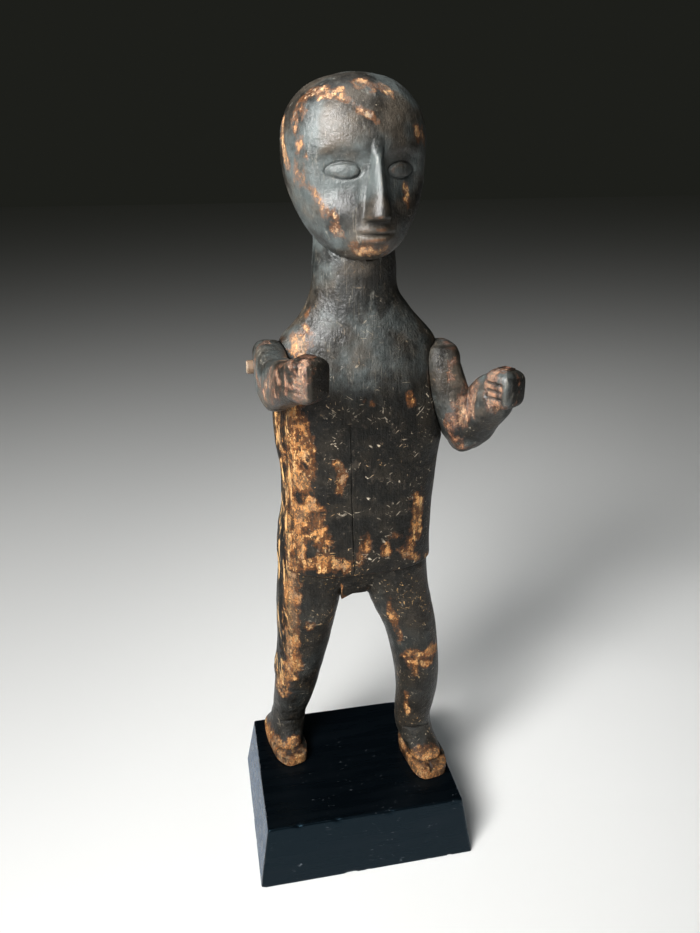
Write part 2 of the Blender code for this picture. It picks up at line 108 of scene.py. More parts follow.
def step_up(value, start, end):
    """0 up to start, 1 from end on, and the cubic 3t^2 - 2t^3 between them."""
    t = np.clip((value - start) / (end - start), 0, 1)
    return t * t * (3 - 2 * t)


def eased_profile(length, ease, corner_rows, side_rows):
    """Places along a length, and how far each is drawn in, so that both ends round over.

    An end's places follow a quarter circle: ease (1 - cos t) along, and ease (1 - sin t) inward.
    """
    quarter = np.linspace(0, pi / 2, corner_rows)
    side = np.linspace(ease, length - ease, side_rows)[1:-1]
    steep = ease * (1 - np.cos(quarter))
    flat = ease * (1 - np.sin(quarter))
    place = np.concatenate((steep, side, length - flat))
    inset = np.concatenate((flat, np.zeros(len(side)), steep))
    return place, inset


def shell(name, grid):
    """Skin a grid of rows and wrapped columns with quads, and close both ends with fans.

    The faces are turned round if their signed volume, the sum of a . (b x c) / 6, is negative.
    """
    rows, columns = grid.shape[:2]
    index = np.arange(rows * columns).reshape(rows, columns)
    across = np.roll(index, -1, axis=1)
    quads = np.stack((index[:-1], across[:-1], across[1:], index[1:]), axis=-1).reshape(-1, 4)
    first, last = rows * columns, rows * columns + 1
    low_fan = np.stack((across[0], index[0], np.full(columns, first)), axis=-1)
    high_fan = np.stack((index[-1], across[-1], np.full(columns, last)), axis=-1)
    points = np.concatenate((grid.reshape(-1, 3), [grid[0].mean(axis=0)], [grid[-1].mean(axis=0)]))
    halves = np.concatenate((quads[:, [0, 1, 2]], quads[:, [0, 2, 3]], low_fan, high_fan))
    a, b, c = (points[halves[:, k]] for k in range(3))
    if (a * np.cross(b, c)).sum() < 0:
        quads, low_fan, high_fan = quads[:, ::-1], low_fan[:, ::-1], high_fan[:, ::-1]
    mesh = bpy.data.meshes.new(name)
    mesh.from_pydata(points, [], quads.tolist() + low_fan.tolist() + high_fan.tolist())
    return mesh


def linked(name, data):
    """An object for a mesh, a light or a camera, in the scene, at the origin."""
    thing = bpy.data.objects.new(name, data)
    bpy.context.scene.collection.objects.link(thing)
    return thing


def mesh_points(mesh):
    """The mesh's vertices and their normals, as two arrays."""
    points = np.empty(len(mesh.vertices) * 3, np.float32)
    mesh.vertices.foreach_get("co", points)
    normals = np.empty(len(mesh.vertices) * 3, np.float32)
    mesh.vertex_normals.foreach_get("vector", normals)
    return points.reshape(-1, 3).astype(float), normals.reshape(-1, 3).astype(float)


def moved(mesh, points):
    """Put the mesh's vertices at new points."""
    mesh.vertices.foreach_set("co", points.astype(np.float32).ravel())
    mesh.update()


def kept(mesh, **fields):
    """Write fields onto the mesh as attributes of its points."""
    for name, values in fields.items():
        held = mesh.attributes.new(name, "FLOAT", "POINT")
        held.data.foreach_set("value", np.asarray(values, np.float32))


def plug(tree, node, sockets):
    """Fill a node's sockets, by name or number: each takes a value or another's output."""
    for name, value in sockets.items():
        if isinstance(value, bpy.types.NodeSocket):
            tree.links.new(value, node.inputs[name])
        else:
            node.inputs[name].default_value = value


def put(tree, kind, sockets, **settings):
    """Add a shader node with its settings and sockets."""
    node = tree.nodes.new("ShaderNode" + kind)
    for name, value in settings.items():
        setattr(node, name, value)
    plug(tree, node, sockets)
    return node


def new_finish(name):
    """A new material, its tree, and each point's place in the piece's own metres."""
    finish = bpy.data.materials.new(name)
    finish.use_nodes = True
    return finish, finish.node_tree, put(finish.node_tree, "TexCoord", {}).outputs["Object"]


def tint(tree, share, first, second):
    """Mix two colours: the first at share 0, the second at share 1."""
    return put(tree, "Mix", {0: share, 6: first, 7: second}, data_type="RGBA").outputs[2]


def sum_of(tree, first, second, times=1.0):
    """first times a number, plus second."""
    return put(tree, "Math", {0: first, 1: times, 2: second}, operation="MULTIPLY_ADD").outputs[0]


def product(tree, first, second):
    """first times second."""
    return put(tree, "Math", {0: first, 1: second}, operation="MULTIPLY").outputs[0]


def ramp(tree, value, start, end, low=0.0, high=1.0):
    """low up to start, high from end on, eased between them."""
    sockets = {"Value": value, "From Min": start, "From Max": end, "To Min": low, "To Max": high}
    return put(tree, "MapRange", sockets, interpolation_type="SMOOTHSTEP").outputs[0]


def cloud(tree, place, scale, detail=3.0, rough=0.55):
    """Fractal noise about 0.5 at a place, with features of 1 / scale metres."""
    sockets = {"Vector": place, "Scale": scale, "Detail": detail, "Roughness": rough}
    return put(tree, "TexNoise", sockets).outputs[0]


def drawn_cloud(tree, place, shares, scale, detail=3.0, rough=0.55):
    """Noise on a place scaled by shares along its axes, so drawn out where a share is small."""
    drawn = put(tree, "Mapping", {"Vector": place, "Scale": shares}).outputs[0]
    return cloud(tree, drawn, scale, detail, rough)


def attribute(tree, name):
    """The value that the mesh carries under a name."""
    return put(tree, "Attribute", {}, attribute_name=name).outputs["Fac"]


def plinth_mesh():
    """The block's skin, from the underside's middle, round both arrises, to the top's middle.

    Each row is a rectangle whose half sizes shrink with the sides' lean and the row's inset; its
    corners are clipped back to the arris radius.
    """
    ease = PLINTH_EASE
    height = plinth_high[2] - plinth_low[2]
    lean = plinth_high[0] - plinth_top[0]
    level, inset = eased_profile(height, ease, PLINTH_EASE_ROWS, PLINTH_SIDE_ROWS)
    inward = np.linspace(0.0, 1.0, PLINTH_FACE_ROWS)[1:]
    u = np.linspace(-1, 1, PLINTH_COLUMNS[0], endpoint=False)
    v = np.linspace(-1, 1, PLINTH_COLUMNS[1], endpoint=False)
    x = np.concatenate((u, np.ones(len(v)), -u, -np.ones(len(v))))
    y = np.concatenate((-np.ones(len(u)), v, np.ones(len(u)), -v))
    half = plinth_high[:2] - lean * (level / height)[:, None] - inset[:, None]
    ring = half[:, None] * np.stack((x, y), axis=-1)
    core = half[:, None] - ease
    out = ring - np.clip(ring, -core, core)
    reach = np.linalg.norm(out, axis=-1, keepdims=True)
    ring = np.clip(ring, -core, core) + out * np.minimum(1, ease / np.maximum(reach, 1e-9))
    walls = np.concatenate((ring, np.broadcast_to(level[:, None, None], ring.shape[:2] + (1,))), axis=-1)
    shrink = (1 - inward)[::-1][1:, None, None] * (1, 1, 0) + (0, 0, 1)
    under = walls[:1] * shrink
    over = (walls[-1:] * shrink)[::-1]
    return shell("black_block", np.concatenate((under, walls, over)))


def knocked(mesh):
    """Dent the arrises where a fine noise passes a limit, and let the faces wave a little."""
    points, normals = mesh_points(mesh)
    height = plinth_high[2] - plinth_low[2]
    half = plinth_high[:2] - (plinth_high[0] - plinth_top[0]) * (points[:, 2:] / height)
    gap = np.concatenate((
        half - np.abs(points[:, :2]), (height - points[:, 2:]), points[:, 2:],
    ), axis=1)
    near = 1 - step_up(np.sort(gap, axis=1)[:, 1], 0.0, KNOCK_REACH)
    dents = step_up(rough_noise(points, KNOCK_CELL, 2, 11), 0.45, 1.0)
    wave = WAVE_HEIGHT * value_noise(points, WAVE_CELL, 12)
    points += normals * (wave - KNOCK_DEPTH * dents * near)[:, None]
    points[:, 2] = np.maximum(points[:, 2], plinth_low[2])
    moved(mesh, points)
    kept(mesh, worn=near * step_up(dents, 0.0, 0.5))


def black_stain():
    """Black stain on close grain: fine pores drawn out along X, hardly any colour, low satin."""
    finish, tree, place = new_finish("black_stain")
    pores = drawn_cloud(tree, place, (0.05, 1.0, 1.0), 1500, 2.0, 0.6)
    bands = drawn_cloud(tree, place, (0.12, 1.0, 1.0), 120)
    specks = ramp(tree, drawn_cloud(tree, place, (0.25, 1.0, 1.0), 700, 3.0, 0.7), 0.64, 0.70)
    cluster = ramp(tree, cloud(tree, place, 42), 0.50, 0.64)
    pale_overlay = product(tree, specks, cluster)
    worn = ramp(tree, attribute(tree, "worn"), 0.2, 0.8, 0.0, 0.5)
    colour = tint(tree, ramp(tree, bands, 0.4, 0.75), STAIN_BLACK, STAIN_BROWN)
    colour = tint(tree, product(tree, pale_overlay, worn), colour, PORE_DUST)
    colour = tint(tree, product(tree, pale_overlay, 0.9), colour, PORE_DUST)
    rough = ramp(tree, bands, 0.3, 0.8, 0.24, 0.36)
    height = sum_of(tree, ramp(tree, pores, 0.35, 0.6), bands, 0.6)
    bump = put(tree, "Bump", {"Height": height, "Strength": 0.5, "Distance": 0.00008}).outputs[0]
    plug(tree, tree.nodes["Principled BSDF"], {
        "Base Color": colour, "Roughness": rough, "Normal": bump,
        "Specular IOR Level": BLACK_SHINE, "Specular Tint": SHINE_BLUE, **BLACK_SHEEN,
    })
    return finish


block = linked("black_block", plinth_mesh())
knocked(block.data)
block.data.materials.append(black_stain())
block.data.shade_smooth()
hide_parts("plinth")
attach(block, "root")

# Body: head, neck, torso, legs and feet are carved from one log, its grain upright, under a dark
# handled crust that has worn through to bare wood. The forms are level sections run up the
# log, joined as one skin and then weathered.
body_low, body_high = (np.array(corner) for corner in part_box("figure_body"))
MODULE = (body_high[2] - body_low[2]) / 100
SOLES = body_low[2]

# Modules above the soles: height, centre x, centre y, half width, half depth, squareness
TORSO = (
    (36.4, 0.80, 1.9, 11.15, 5.30, 2.6),
    (39.4, 0.65, 1.9, 11.15, 5.60, 2.6),
    (46.6, 1.15, 1.8, 10.75, 5.50, 2.5),
    (52.0, 1.30, 1.6, 10.95, 5.30, 2.5),
    (57.8, 1.30, 1.6, 11.60, 5.60, 2.5),
    (62.5, 1.20, 1.5, 11.45, 5.50, 2.4),
    (66.2, 1.05, 1.5, 11.00, 5.30, 2.3),
    (69.6, 0.95, 1.5, 10.00, 5.00, 2.2),
    (72.6, 0.90, 1.6, 7.35, 4.75, 2.1),
    (75.4, 0.55, 1.6, 5.70, 4.60, 2.0),
    (79.0, 0.50, 1.6, 5.35, 4.55, 2.0),
    (85.0, 0.50, 1.6, 4.90, 4.20, 2.0),
)
HEM_RISE = 0.5
HEM_LIP = 0.32
HEM_LIP_ROWS = 6
# Length of the torso's middle line
TORSO_RUN = 49.0
TORSO_ROWS = 186
TORSO_COLUMNS = 196
LEG_ROWS = 130
LEG_COLUMNS = 80
FORK = (
    (31.5, 0.50, 2.7, 3.2, 2.8, 3.0),
    (33.5, 0.45, 2.5, 4.2, 3.6, 3.0),
    (38.0, 0.40, 2.0, 5.2, 4.6, 3.0),
)
# The lug at the fork; its underside rises by this much towards the figure's left
FORK_TAB = {"centre": (0.20, -0.35, 33.6), "half": (1.95, 0.65, 2.3), "rise": 1.9}
RIGHT_LEG = (
    (1.2, -10.2, 7.0, 2.0, 2.6, 2.2),
    (5.4, -9.35, 6.9, 2.65, 2.9, 2.2),
    (10.5, -8.40, 6.0, 3.20, 3.1, 2.2),
    (16.5, -7.60, 4.9, 3.62, 3.4, 2.3),
    (21.8, -6.90, 4.0, 3.98, 3.7, 2.4),
    (30.7, -6.10, 2.8, 4.75, 4.2, 2.6),
    (38.0, -5.10, 2.2, 5.20, 4.5, 2.6),
)
LEFT_LEG = (
    (1.2, 11.2, 0.9, 2.2, 2.5, 2.2),
    (6.2, 10.25, 0.9, 2.78, 2.9, 2.2),
    (12.6, 10.60, 0.7, 3.25, 3.1, 2.2),
    (18.1, 10.30, 0.8, 3.50, 3.4, 2.3),
    (24.0, 9.35, 1.2, 3.95, 3.7, 2.3),
    (30.7, 7.45, 1.8, 4.75, 4.1, 2.3),
    (38.0, 6.50, 2.0, 4.80, 4.3, 2.3),
)
FOOT_LENGTH = 11.6
SOLE_THICKNESS = 1.75
SOLE_ROUND = 0.2
SOLE_LIP = 0.42
SOLE_COLUMNS = 130
TOE_STEP = 1.7
UPPER_OVERLAP = 0.3
UPPER_COLUMNS = 104
ANKLE_EASE = 0.1
RIGHT_FOOT = {"heel": (-11.5, 11.3), "turn": 13.0, "heel_half": 2.6, "ball_half": 2.85}
LEFT_FOOT = {"heel": (10.65, 4.5), "turn": 6.5, "heel_half": 2.85, "ball_half": 3.15}

HEAD_CENTRE = (0.45, 1.6, 92.2)
HEAD_TURN = 8.0
HEAD_HALF_WIDTH = 8.65
HEAD_ABOVE = 7.8
HEAD_BELOW = 12.5
HEAD_FRONT = 8.0
HEAD_BACK = 8.3
HEAD_FULLNESS = 2.3
CHIN_FORWARD = 3.3
CHEEK_TAPER = 0.10
HEAD_COLUMNS = 224
HEAD_ROWS = 166

# Face on the usual canon: eyes half way down, one eye wide apart, nose base and mouth below
EYE_LEVEL = (HEAD_ABOVE - HEAD_BELOW) / 2
EYE_WIDTH = HEAD_HALF_WIDTH / 2.5
EYE_HALF_HEIGHT = 0.85
EYE_SWELL = 0.42
LID_LINE = 0.22
SOCKET_REACH = 2.9
SOCKET_DEPTH = 0.85
BROW_LEVEL = EYE_LEVEL + 0.55 * EYE_WIDTH
BROW_ARCH = 0.25
BROW_EDGE = 0.20
NOSE_BASE = (EYE_LEVEL - HEAD_BELOW) / 2
NOSE_AT_ROOT = {"half": 0.75, "out": 0.75}
NOSE_AT_BASE = {"half": 1.70, "out": 2.30}
MOUTH_LEVEL = NOSE_BASE - (NOSE_BASE + HEAD_BELOW) / 3
MOUTH_HALF = 0.75 * EYE_WIDTH
UPPER_LIP = {"above": 0.50, "reach": 0.42, "out": 0.42}
LOWER_LIP = {"above": -0.62, "reach": 0.50, "out": 0.46}
MOUTH_LINE = {"above": 0.0, "reach": 0.15, "out": -0.42}
MUZZLE_REACH = (3.0, 2.0)
MUZZLE_SWELL = 0.45
CHIN_REACH = (2.0, 1.2)
CHIN_SWELL = 0.5


def placed(points):
    """Points in modules above the soles, in metres above the floor."""
    return points * MODULE + np.array((0.0, 0.0, SOLES))


def smooth_rows(rows, share):
    """Read rows at shares of their own length, on a cubic curve through them.

    Each stretch is the cubic Hermite of its two rows and of their central-difference slopes.
    """
    rows = np.array(rows, float)
    run = np.linalg.norm(np.diff(rows[:, :3], axis=0), axis=1)
    key = np.concatenate(([0.0], np.cumsum(run)))
    slope = np.gradient(rows, key, axis=0)
    at = np.asarray(share) * key[-1]
    i = np.clip(np.searchsorted(key, at, side="right") - 1, 0, len(key) - 2)
    step = (key[i + 1] - key[i])[:, None]
    t = (at - key[i])[:, None] / step
    start = (1 + 2 * t) * (1 - t) ** 2 * rows[i] + t * (1 - t) ** 2 * step * slope[i]
    end = t * t * (3 - 2 * t) * rows[i + 1] + t * t * (t - 1) * step * slope[i + 1]
    return start + end


def signed_power(value, power):
    """A value's size raised to a power, with the value's own sign."""
    return np.sign(value) * np.abs(value) ** power


def superellipse(turn, half_a, half_b, squareness):
    """Points of |a|^n + |b|^n = 1 scaled by two half sizes, one row for each pair of sizes."""
    power = 2 / np.asarray(squareness)[:, None]
    a = signed_power(np.cos(turn), power)
    b = signed_power(np.sin(turn), power)
    return a * np.asarray(half_a)[:, None], b * np.asarray(half_b)[:, None]


def bell(distance, reach, power=2):
    """One in the middle, nothing past the reach, and flatter on top as the power rises."""
    return np.exp(-np.abs(distance / reach) ** power)


def past(distance, softness):
    """A soft step from nothing to one as a distance turns positive."""
    return 1 / (1 + np.exp(-distance / softness))


def even_turns(count, turn, run):
    """Angles a fixed share of the whole run apart, from the run between close angles."""
    key = np.concatenate(([0.0], np.cumsum(run)))
    return np.interp(np.arange(count) / count * key[-1], key, turn)


def shared_turns(count, half_a, half_b, squareness, crowding):
    """Angles whose points lie evenly along a superellipse, closer where crowding is higher."""
    turn = np.linspace(0, 2 * pi, 6001)
    a, b = superellipse(turn, [half_a], [half_b], [squareness])
    middle = (turn[1:] + turn[:-1]) / 2
    return even_turns(count, turn, np.hypot(np.diff(a[0]), np.diff(b[0])) * crowding(middle))


SEEN_TURN = radians(245)
CRACK_TURN = radians(265)
CRACK_SPREAD = radians(3.2)


def seen_more(turn):
    """Three times as many columns on the front and right flank as on the back: 1 + cos / 2."""
    return 1 + 0.5 * np.cos(turn - SEEN_TURN)


def with_crack(turn):
    """Columns as seen, and four times as many where the torso's long crack runs."""
    return seen_more(turn) * (1 + 3.0 * bell(turn - CRACK_TURN, CRACK_SPREAD, 6))


def upright_loft(name, stations, share, turn, sides_rise=0.0, lip=0.0):
    """Level superellipse sections run up through a table of stations.

    The lowest section's two sides may be lifted, which fades out in the first tenth above it,
    and a lip draws the lowest sections in on a quarter circle.
    """
    stations = np.array(stations, float)
    table = np.column_stack((stations[:, 1:3], stations[:, 0], stations[:, 3:]))
    rows = smooth_rows(table, share)
    a, b = superellipse(turn, rows[:, 3], rows[:, 4], rows[:, 5])
    above = rows[:, 2:3] - rows[0, 2]
    lift = sides_rise * (a / rows[:, 3:4]) ** 2 * np.clip(1 - 10 * above / above[-1], 0, 1)
    if lip:
        drawn = lip * (1 - np.sqrt(1 - np.clip(1 - above / lip, 0, 1) ** 2))
        a = a * (1 - drawn / rows[:, 3:4])
        b = b * (1 - drawn / rows[:, 4:5])
    x = rows[:, :1] + a
    y = rows[:, 1:2] + b
    z = rows[:, 2:3] + lift
    return shell(name, placed(np.stack((x, y, z), axis=-1)))


def sole_plan(foot, t, inset):
    """Plan of a sole: its half width eases from heel to ball, closed by round ends."""
    width = foot["heel_half"] + (foot["ball_half"] - foot["heel_half"]) * (1 - np.cos(t)) / 2
    half = FOOT_LENGTH / 2 - inset
    forward = half * (1 - signed_power(np.cos(t), 0.8))
    sideways = (width - inset) * signed_power(np.sin(t), 0.62)
    return forward + inset, sideways


def swung(degrees, centre, x, y):
    """Turn x and y anticlockwise as seen from above, and move them to a centre."""
    turn = radians(degrees)
    across = centre[0] + x * np.cos(turn) - y * np.sin(turn)
    along = centre[1] + x * np.sin(turn) + y * np.cos(turn)
    return across, along


def on_foot(foot, forward, sideways):
    """Turn distances from the heel into x and y, with the toes towards -Y."""
    return swung(foot["turn"], foot["heel"], sideways, -forward)


def plan_turns(foot, count):
    """Angles whose points lie evenly along a sole's outline."""
    t = np.linspace(0, 2 * pi, 4001)
    forward, sideways = sole_plan(foot, t, 0.0)
    return even_turns(count, t, np.hypot(np.diff(forward), np.diff(sideways)))


def sole_mesh(name, foot):
    """The thick sole band: the plan carried up, its two edges rounded on quarter circles."""
    t = plan_turns(foot, SOLE_COLUMNS)
    level, inset = eased_profile(SOLE_THICKNESS, SOLE_ROUND, 4, 8)
    rings = [on_foot(foot, *sole_plan(foot, t, drawn)) for drawn in inset]
    x, y = np.array(rings).transpose(1, 0, 2)
    z = np.broadcast_to(level[:, None], x.shape)
    return shell(name, placed(np.stack((x, y, z), axis=-1)))


def upper_mesh(name, foot, leg):
    """The foot above its sole: the plan shrinks to the ankle, with a step behind the toes.

    It goes straight up for a sixth of its height, then in by 1 - (1 - t)^2.2 of the way.
    """
    t = plan_turns(foot, UPPER_COLUMNS)
    ankle = np.array(leg[1])
    start = SOLE_THICKNESS - UPPER_OVERLAP
    end = ankle[0] + 2 * UPPER_OVERLAP
    forward, sideways = sole_plan(foot, t, SOLE_LIP)
    forward = SOLE_LIP + (forward - SOLE_LIP) * (1 - TOE_STEP / FOOT_LENGTH)
    x, y = on_foot(foot, forward, sideways)
    back = signed_power(np.cos(t), 0.9) * (ankle[4] + ANKLE_EASE)
    aside = signed_power(np.sin(t), 0.9) * (ankle[3] + ANKLE_EASE)
    ring_x, ring_y = swung(foot["turn"], ankle[1:3], aside, back)
    share = np.linspace(0.0, 1.0, 26)[:, None]
    blend = 1 - (1 - np.maximum(share - 1 / 6, 0.0) * 6 / 5) ** 2.2
    x = x + (ring_x - x) * blend
    y = y + (ring_y - y) * blend
    z = np.broadcast_to(start + (end - start) * share, x.shape)
    return shell(name, placed(np.stack((x, y, z), axis=-1)))


def face_relief(x, z):
    """How far the carving stands out of the egg, in modules.

    Sockets step in below two brow arcs, a wedge of a nose widens to its base, almond eyes
    inside cut lid lines swell in the sockets, and closed lips and a chin swell below.
    """
    half = np.abs(x)
    eye_x = half - EYE_WIDTH
    eye_z = z - EYE_LEVEL
    brow = BROW_LEVEL + BROW_ARCH * (1 - (eye_x / (EYE_WIDTH / 2)) ** 2)
    socket = past(brow - z, BROW_EDGE) * bell(eye_x, SOCKET_REACH, 4) * bell(eye_z + 0.5, SOCKET_REACH, 4)
    ring = (2 * eye_x / EYE_WIDTH) ** 2 + (eye_z / EYE_HALF_HEIGHT) ** 2
    almond = np.sqrt(np.clip(1 - ring, 0, 1)) * EYE_SWELL - LID_LINE * bell(ring - 1.12, 0.22)
    down = np.clip((BROW_LEVEL - z) / (BROW_LEVEL - NOSE_BASE), 0, 1)
    nose_half = NOSE_AT_ROOT["half"] + (NOSE_AT_BASE["half"] - NOSE_AT_ROOT["half"]) * down ** 1.5
    nose_out = NOSE_AT_ROOT["out"] + (NOSE_AT_BASE["out"] - NOSE_AT_ROOT["out"]) * down
    wedge = np.clip(1 - (half / nose_half) ** 2, 0, 1) ** 0.7
    nose = nose_out * wedge * past(z - NOSE_BASE, 0.12) * past(BROW_LEVEL + 0.2 - z, 0.5)
    mouth_z = z - MOUTH_LEVEL
    parts = (UPPER_LIP, LOWER_LIP, MOUTH_LINE)
    lips = sum(part["out"] * bell(mouth_z - part["above"], part["reach"]) for part in parts)
    lips = lips * np.clip(1 - (half / MOUTH_HALF) ** 2, 0, 1)
    muzzle = MUZZLE_SWELL * bell(half, MUZZLE_REACH[0]) * bell(mouth_z, MUZZLE_REACH[1])
    chin_z = z + HEAD_BELOW - CHIN_REACH[1]
    chin = CHIN_SWELL * bell(half, CHIN_REACH[0]) * bell(chin_z, CHIN_REACH[1])
    return nose + lips + muzzle + chin + almond - SOCKET_DEPTH * socket


def head_mesh():
    """An egg with the face carved on it, its chin drawn forward, turned to the figure's left.

    A section at height up = cos(polar) is out = (1 - |up|^n)^(1/n) of the full width; columns
    crowd to the face, and rows crowd to its features.
    """
    azimuth = 2 * pi * np.arange(HEAD_COLUMNS) / HEAD_COLUMNS - pi
    azimuth = azimuth - 0.62 * np.sin(azimuth)
    polar = np.linspace(0, 1, HEAD_ROWS + 2)[1:-1]
    polar = pi * np.interp(polar, (0, 0.22, 0.74, 1), (0, 0.44, 0.70, 1))[::-1]
    up = np.cos(polar)[:, None]
    out = (1 - np.abs(up) ** HEAD_FULLNESS) ** (1 / HEAD_FULLNESS)
    low = np.clip(-up, 0, 1)
    x = HEAD_HALF_WIDTH * out * np.sin(azimuth) * (1 - CHEEK_TAPER * low ** 2)
    facing = np.cos(azimuth)
    y = -out * facing * np.where(facing > 0, HEAD_FRONT, HEAD_BACK) - CHIN_FORWARD * low ** 2
    z = np.broadcast_to(up * np.where(up > 0, HEAD_ABOVE, HEAD_BELOW), x.shape)
    y = y - face_relief(x, z) * step_up(facing * out, 0.15, 0.55)
    x, y = swung(HEAD_TURN, HEAD_CENTRE, x, y)
    return shell("head", placed(np.stack((x, y, HEAD_CENTRE[2] + z), axis=-1)))


def tab_mesh():
    """The lug at the fork: a small block whose underside rises towards the figure's left."""
    corner = np.array(((-1, -1), (1, -1), (1, 1), (-1, 1)))
    rows = np.array([np.column_stack((corner, np.full(4, end))) for end in (-1, 1)])
    points = rows * FORK_TAB["half"] + FORK_TAB["centre"]
    points[0, :, 2] += FORK_TAB["rise"] * (corner[:, 0] + 1) / 2
    return shell("fork_tab", placed(points))


def carved(thing, steps):
    """Join and cut a piece with closed meshes, in order, and return it as one plain mesh."""
    tools = []
    for operation, mesh in steps:
        tool = linked(mesh.name, mesh)
        tools.append(tool)
        cut = thing.modifiers.new(mesh.name, "BOOLEAN")
        cut.operation = operation
        cut.solver = "MANIFOLD"
        cut.object = tool
    bpy.context.view_layer.update()
    result = bpy.data.meshes.new_from_object(thing.evaluated_get(bpy.context.evaluated_depsgraph_get()))
    thing.modifiers.clear()
    thing.data = result
    for tool in tools:
        bpy.data.objects.remove(tool)
    return result


# Shoulders, in modules: the middle of each arm's root and the arms' own lines, x outward
SHOULDER = (0.65, 0.4, 66.5)
SHOULDER_REACH = 11.2
RIGHT_ARM_HALF = 2.15
LEFT_ARM_HALF = 2.4
ARM_SQUARENESS = 3.0
SHOULDER_GAP = 0.0006
SEAT_GRID = (40, 64)
RIGHT_UPPER_ARM = (
    (0.0, 3.4, 0.1, 0.7, 0.9),
    (0.0, 3.0, 0.1, 1.6, 2.0),
    (0.0, 1.9, 0.0, 2.05, 3.0),
    (0.0, 0.0, -0.3, RIGHT_ARM_HALF, 3.5),
    (0.0, -3.0, -0.7, RIGHT_ARM_HALF, 3.5),
    (-0.1, -5.3, -1.0, 2.0, 3.2),
    (-0.2, -7.0, -1.1, 1.4, 2.2),
    (-0.2, -7.6, -1.1, 0.6, 0.9),
)
LEFT_UPPER_ARM = (
    (-0.1, -0.1, 2.25, 0.9, 1.1),
    (-0.1, -0.1, 1.90, 1.6, 2.0),
    (-0.1, -0.2, 1.00, 2.2, 3.0),
    (0.0, -0.3, -0.8, LEFT_ARM_HALF, 3.6),
    (0.8, -0.9, -4.2, 2.6, 3.6),
    (2.2, -1.4, -7.6, 2.7, 3.4),
    (3.5, -1.7, -10.4, 2.5, 2.9),
    (4.2, -1.8, -11.9, 1.8, 2.0),
    (4.4, -1.8, -12.4, 0.8, 0.9),
)


def from_shoulder(points, side):
    """Places of an arm, given outward from its shoulder, in modules above the soles."""
    return np.asarray(points) * (side, 1, 1) + SHOULDER + (side * SHOULDER_REACH, 0, 0)


def limb_loft(name, stations, side, rows, columns, grown=0.0, squareness=ARM_SQUARENESS):
    """Sections square to a limb's own line, its thickness kept level.

    Each section's first axis is the world X made square to the line, and its second axis is
    square to both. Every half size is grown by the same amount for a seat that fits round it.
    """
    table = smooth_rows(stations, np.linspace(0, 1, rows))
    line = from_shoulder(table[:, :3], side)
    along = np.gradient(line, axis=0)
    along /= np.linalg.norm(along, axis=1, keepdims=True)
    across = np.array((1.0, 0.0, 0.0)) - along[:, :1] * along
    across /= np.linalg.norm(across, axis=1, keepdims=True)
    rise = np.cross(along, across)
    spread = grown / MODULE
    turn = 2 * pi * np.arange(columns) / columns
    square = np.full(rows, squareness)
    a, b = superellipse(turn, table[:, 3] + spread, table[:, 4] + spread, square)
    line[0] -= along[0] * spread
    line[-1] += along[-1] * spread
    rings = line[:, None] + a[..., None] * across[:, None] + b[..., None] * rise[:, None]
    return shell(name, placed(rings))


# Pegs, in metres
PEG_CLEARANCE = 0.0003
BORE_COLUMNS = 40


def bar_mesh(name, start, end, centre, radius, columns):
    """A round bar along X between two places, about a centre in Y and Z."""
    turn = 2 * pi * np.arange(columns) / columns
    x = np.linspace(start, end, 3)[:, None] + 0 * turn
    y = centre[0] + radius * np.cos(turn) + 0 * x
    z = centre[1] + radius * np.sin(turn) + 0 * x
    return shell(name, np.stack((x, y, z), axis=-1))


def peg_bore(side):
    """The hole that a shoulder peg fills, from its CAD box grown by the clearance."""
    low, high = (np.array(corner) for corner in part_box(side + "_shoulder_peg"))
    centre = (low + high)[1:] / 2
    radius = (high[2] - low[2]) / 2 + PEG_CLEARANCE
    start, end = low[0] - PEG_CLEARANCE, high[0] + PEG_CLEARANCE
    return bar_mesh(side + "_bore", start, end, centre, radius, BORE_COLUMNS)


lip_share = HEM_LIP / TORSO_RUN
torso_share = np.concatenate((
    np.linspace(0, lip_share, HEM_LIP_ROWS)[:-1], np.linspace(lip_share, 1.0, TORSO_ROWS),
))
torso_turn = shared_turns(TORSO_COLUMNS, 11, 5.5, 2.5, with_crack)
fork_turn = shared_turns(LEG_COLUMNS, 4, 3.5, 3, seen_more)
leg_turn = shared_turns(LEG_COLUMNS, 4, 3.7, 2.3, seen_more)
body = linked("carved_body", upright_loft("torso", TORSO, torso_share, torso_turn, HEM_RISE, HEM_LIP))
steps = [
    ("UNION", head_mesh()),
    ("UNION", upright_loft("fork", FORK, np.linspace(0, 1, 24), fork_turn)),
    ("UNION", tab_mesh()),
]
for name, foot, leg in (("right", RIGHT_FOOT, RIGHT_LEG), ("left", LEFT_FOOT, LEFT_LEG)):
    steps += [
        ("UNION", upright_loft(name + "_leg", leg, np.linspace(0, 1, LEG_ROWS), leg_turn)),
        ("UNION", upper_mesh(name + "_upper", foot, leg)),
        ("UNION", sole_mesh(name + "_sole", foot)),
    ]
for name, side, table in (("right", -1, RIGHT_UPPER_ARM), ("left", 1, LEFT_UPPER_ARM)):
    steps += [
        ("DIFFERENCE", limb_loft(name + "_seat", table, side, *SEAT_GRID, SHOULDER_GAP)),
        ("DIFFERENCE", peg_bore(name)),
    ]
carved(body, steps)

# The long drying crack down the front, from hem to chest, in modules: x at each height
CRACK = {"x": (-0.30, -0.75, -0.96), "z": (36.9, 48.5, 61.2), "half": 0.085, "depth": 0.22}
# Relief, in modules: how high fibres, opened ridges and tool facets stand, and how deep the rest
FIBRE_HEIGHT = 0.030
OPEN_HEIGHT = 0.26
OPEN_SINK = 0.08
CRUST_DEPTH = 0.055
DENT_DEPTH = 0.10
BODY_FACETS = 0.07
ARM_FACETS = 0.10

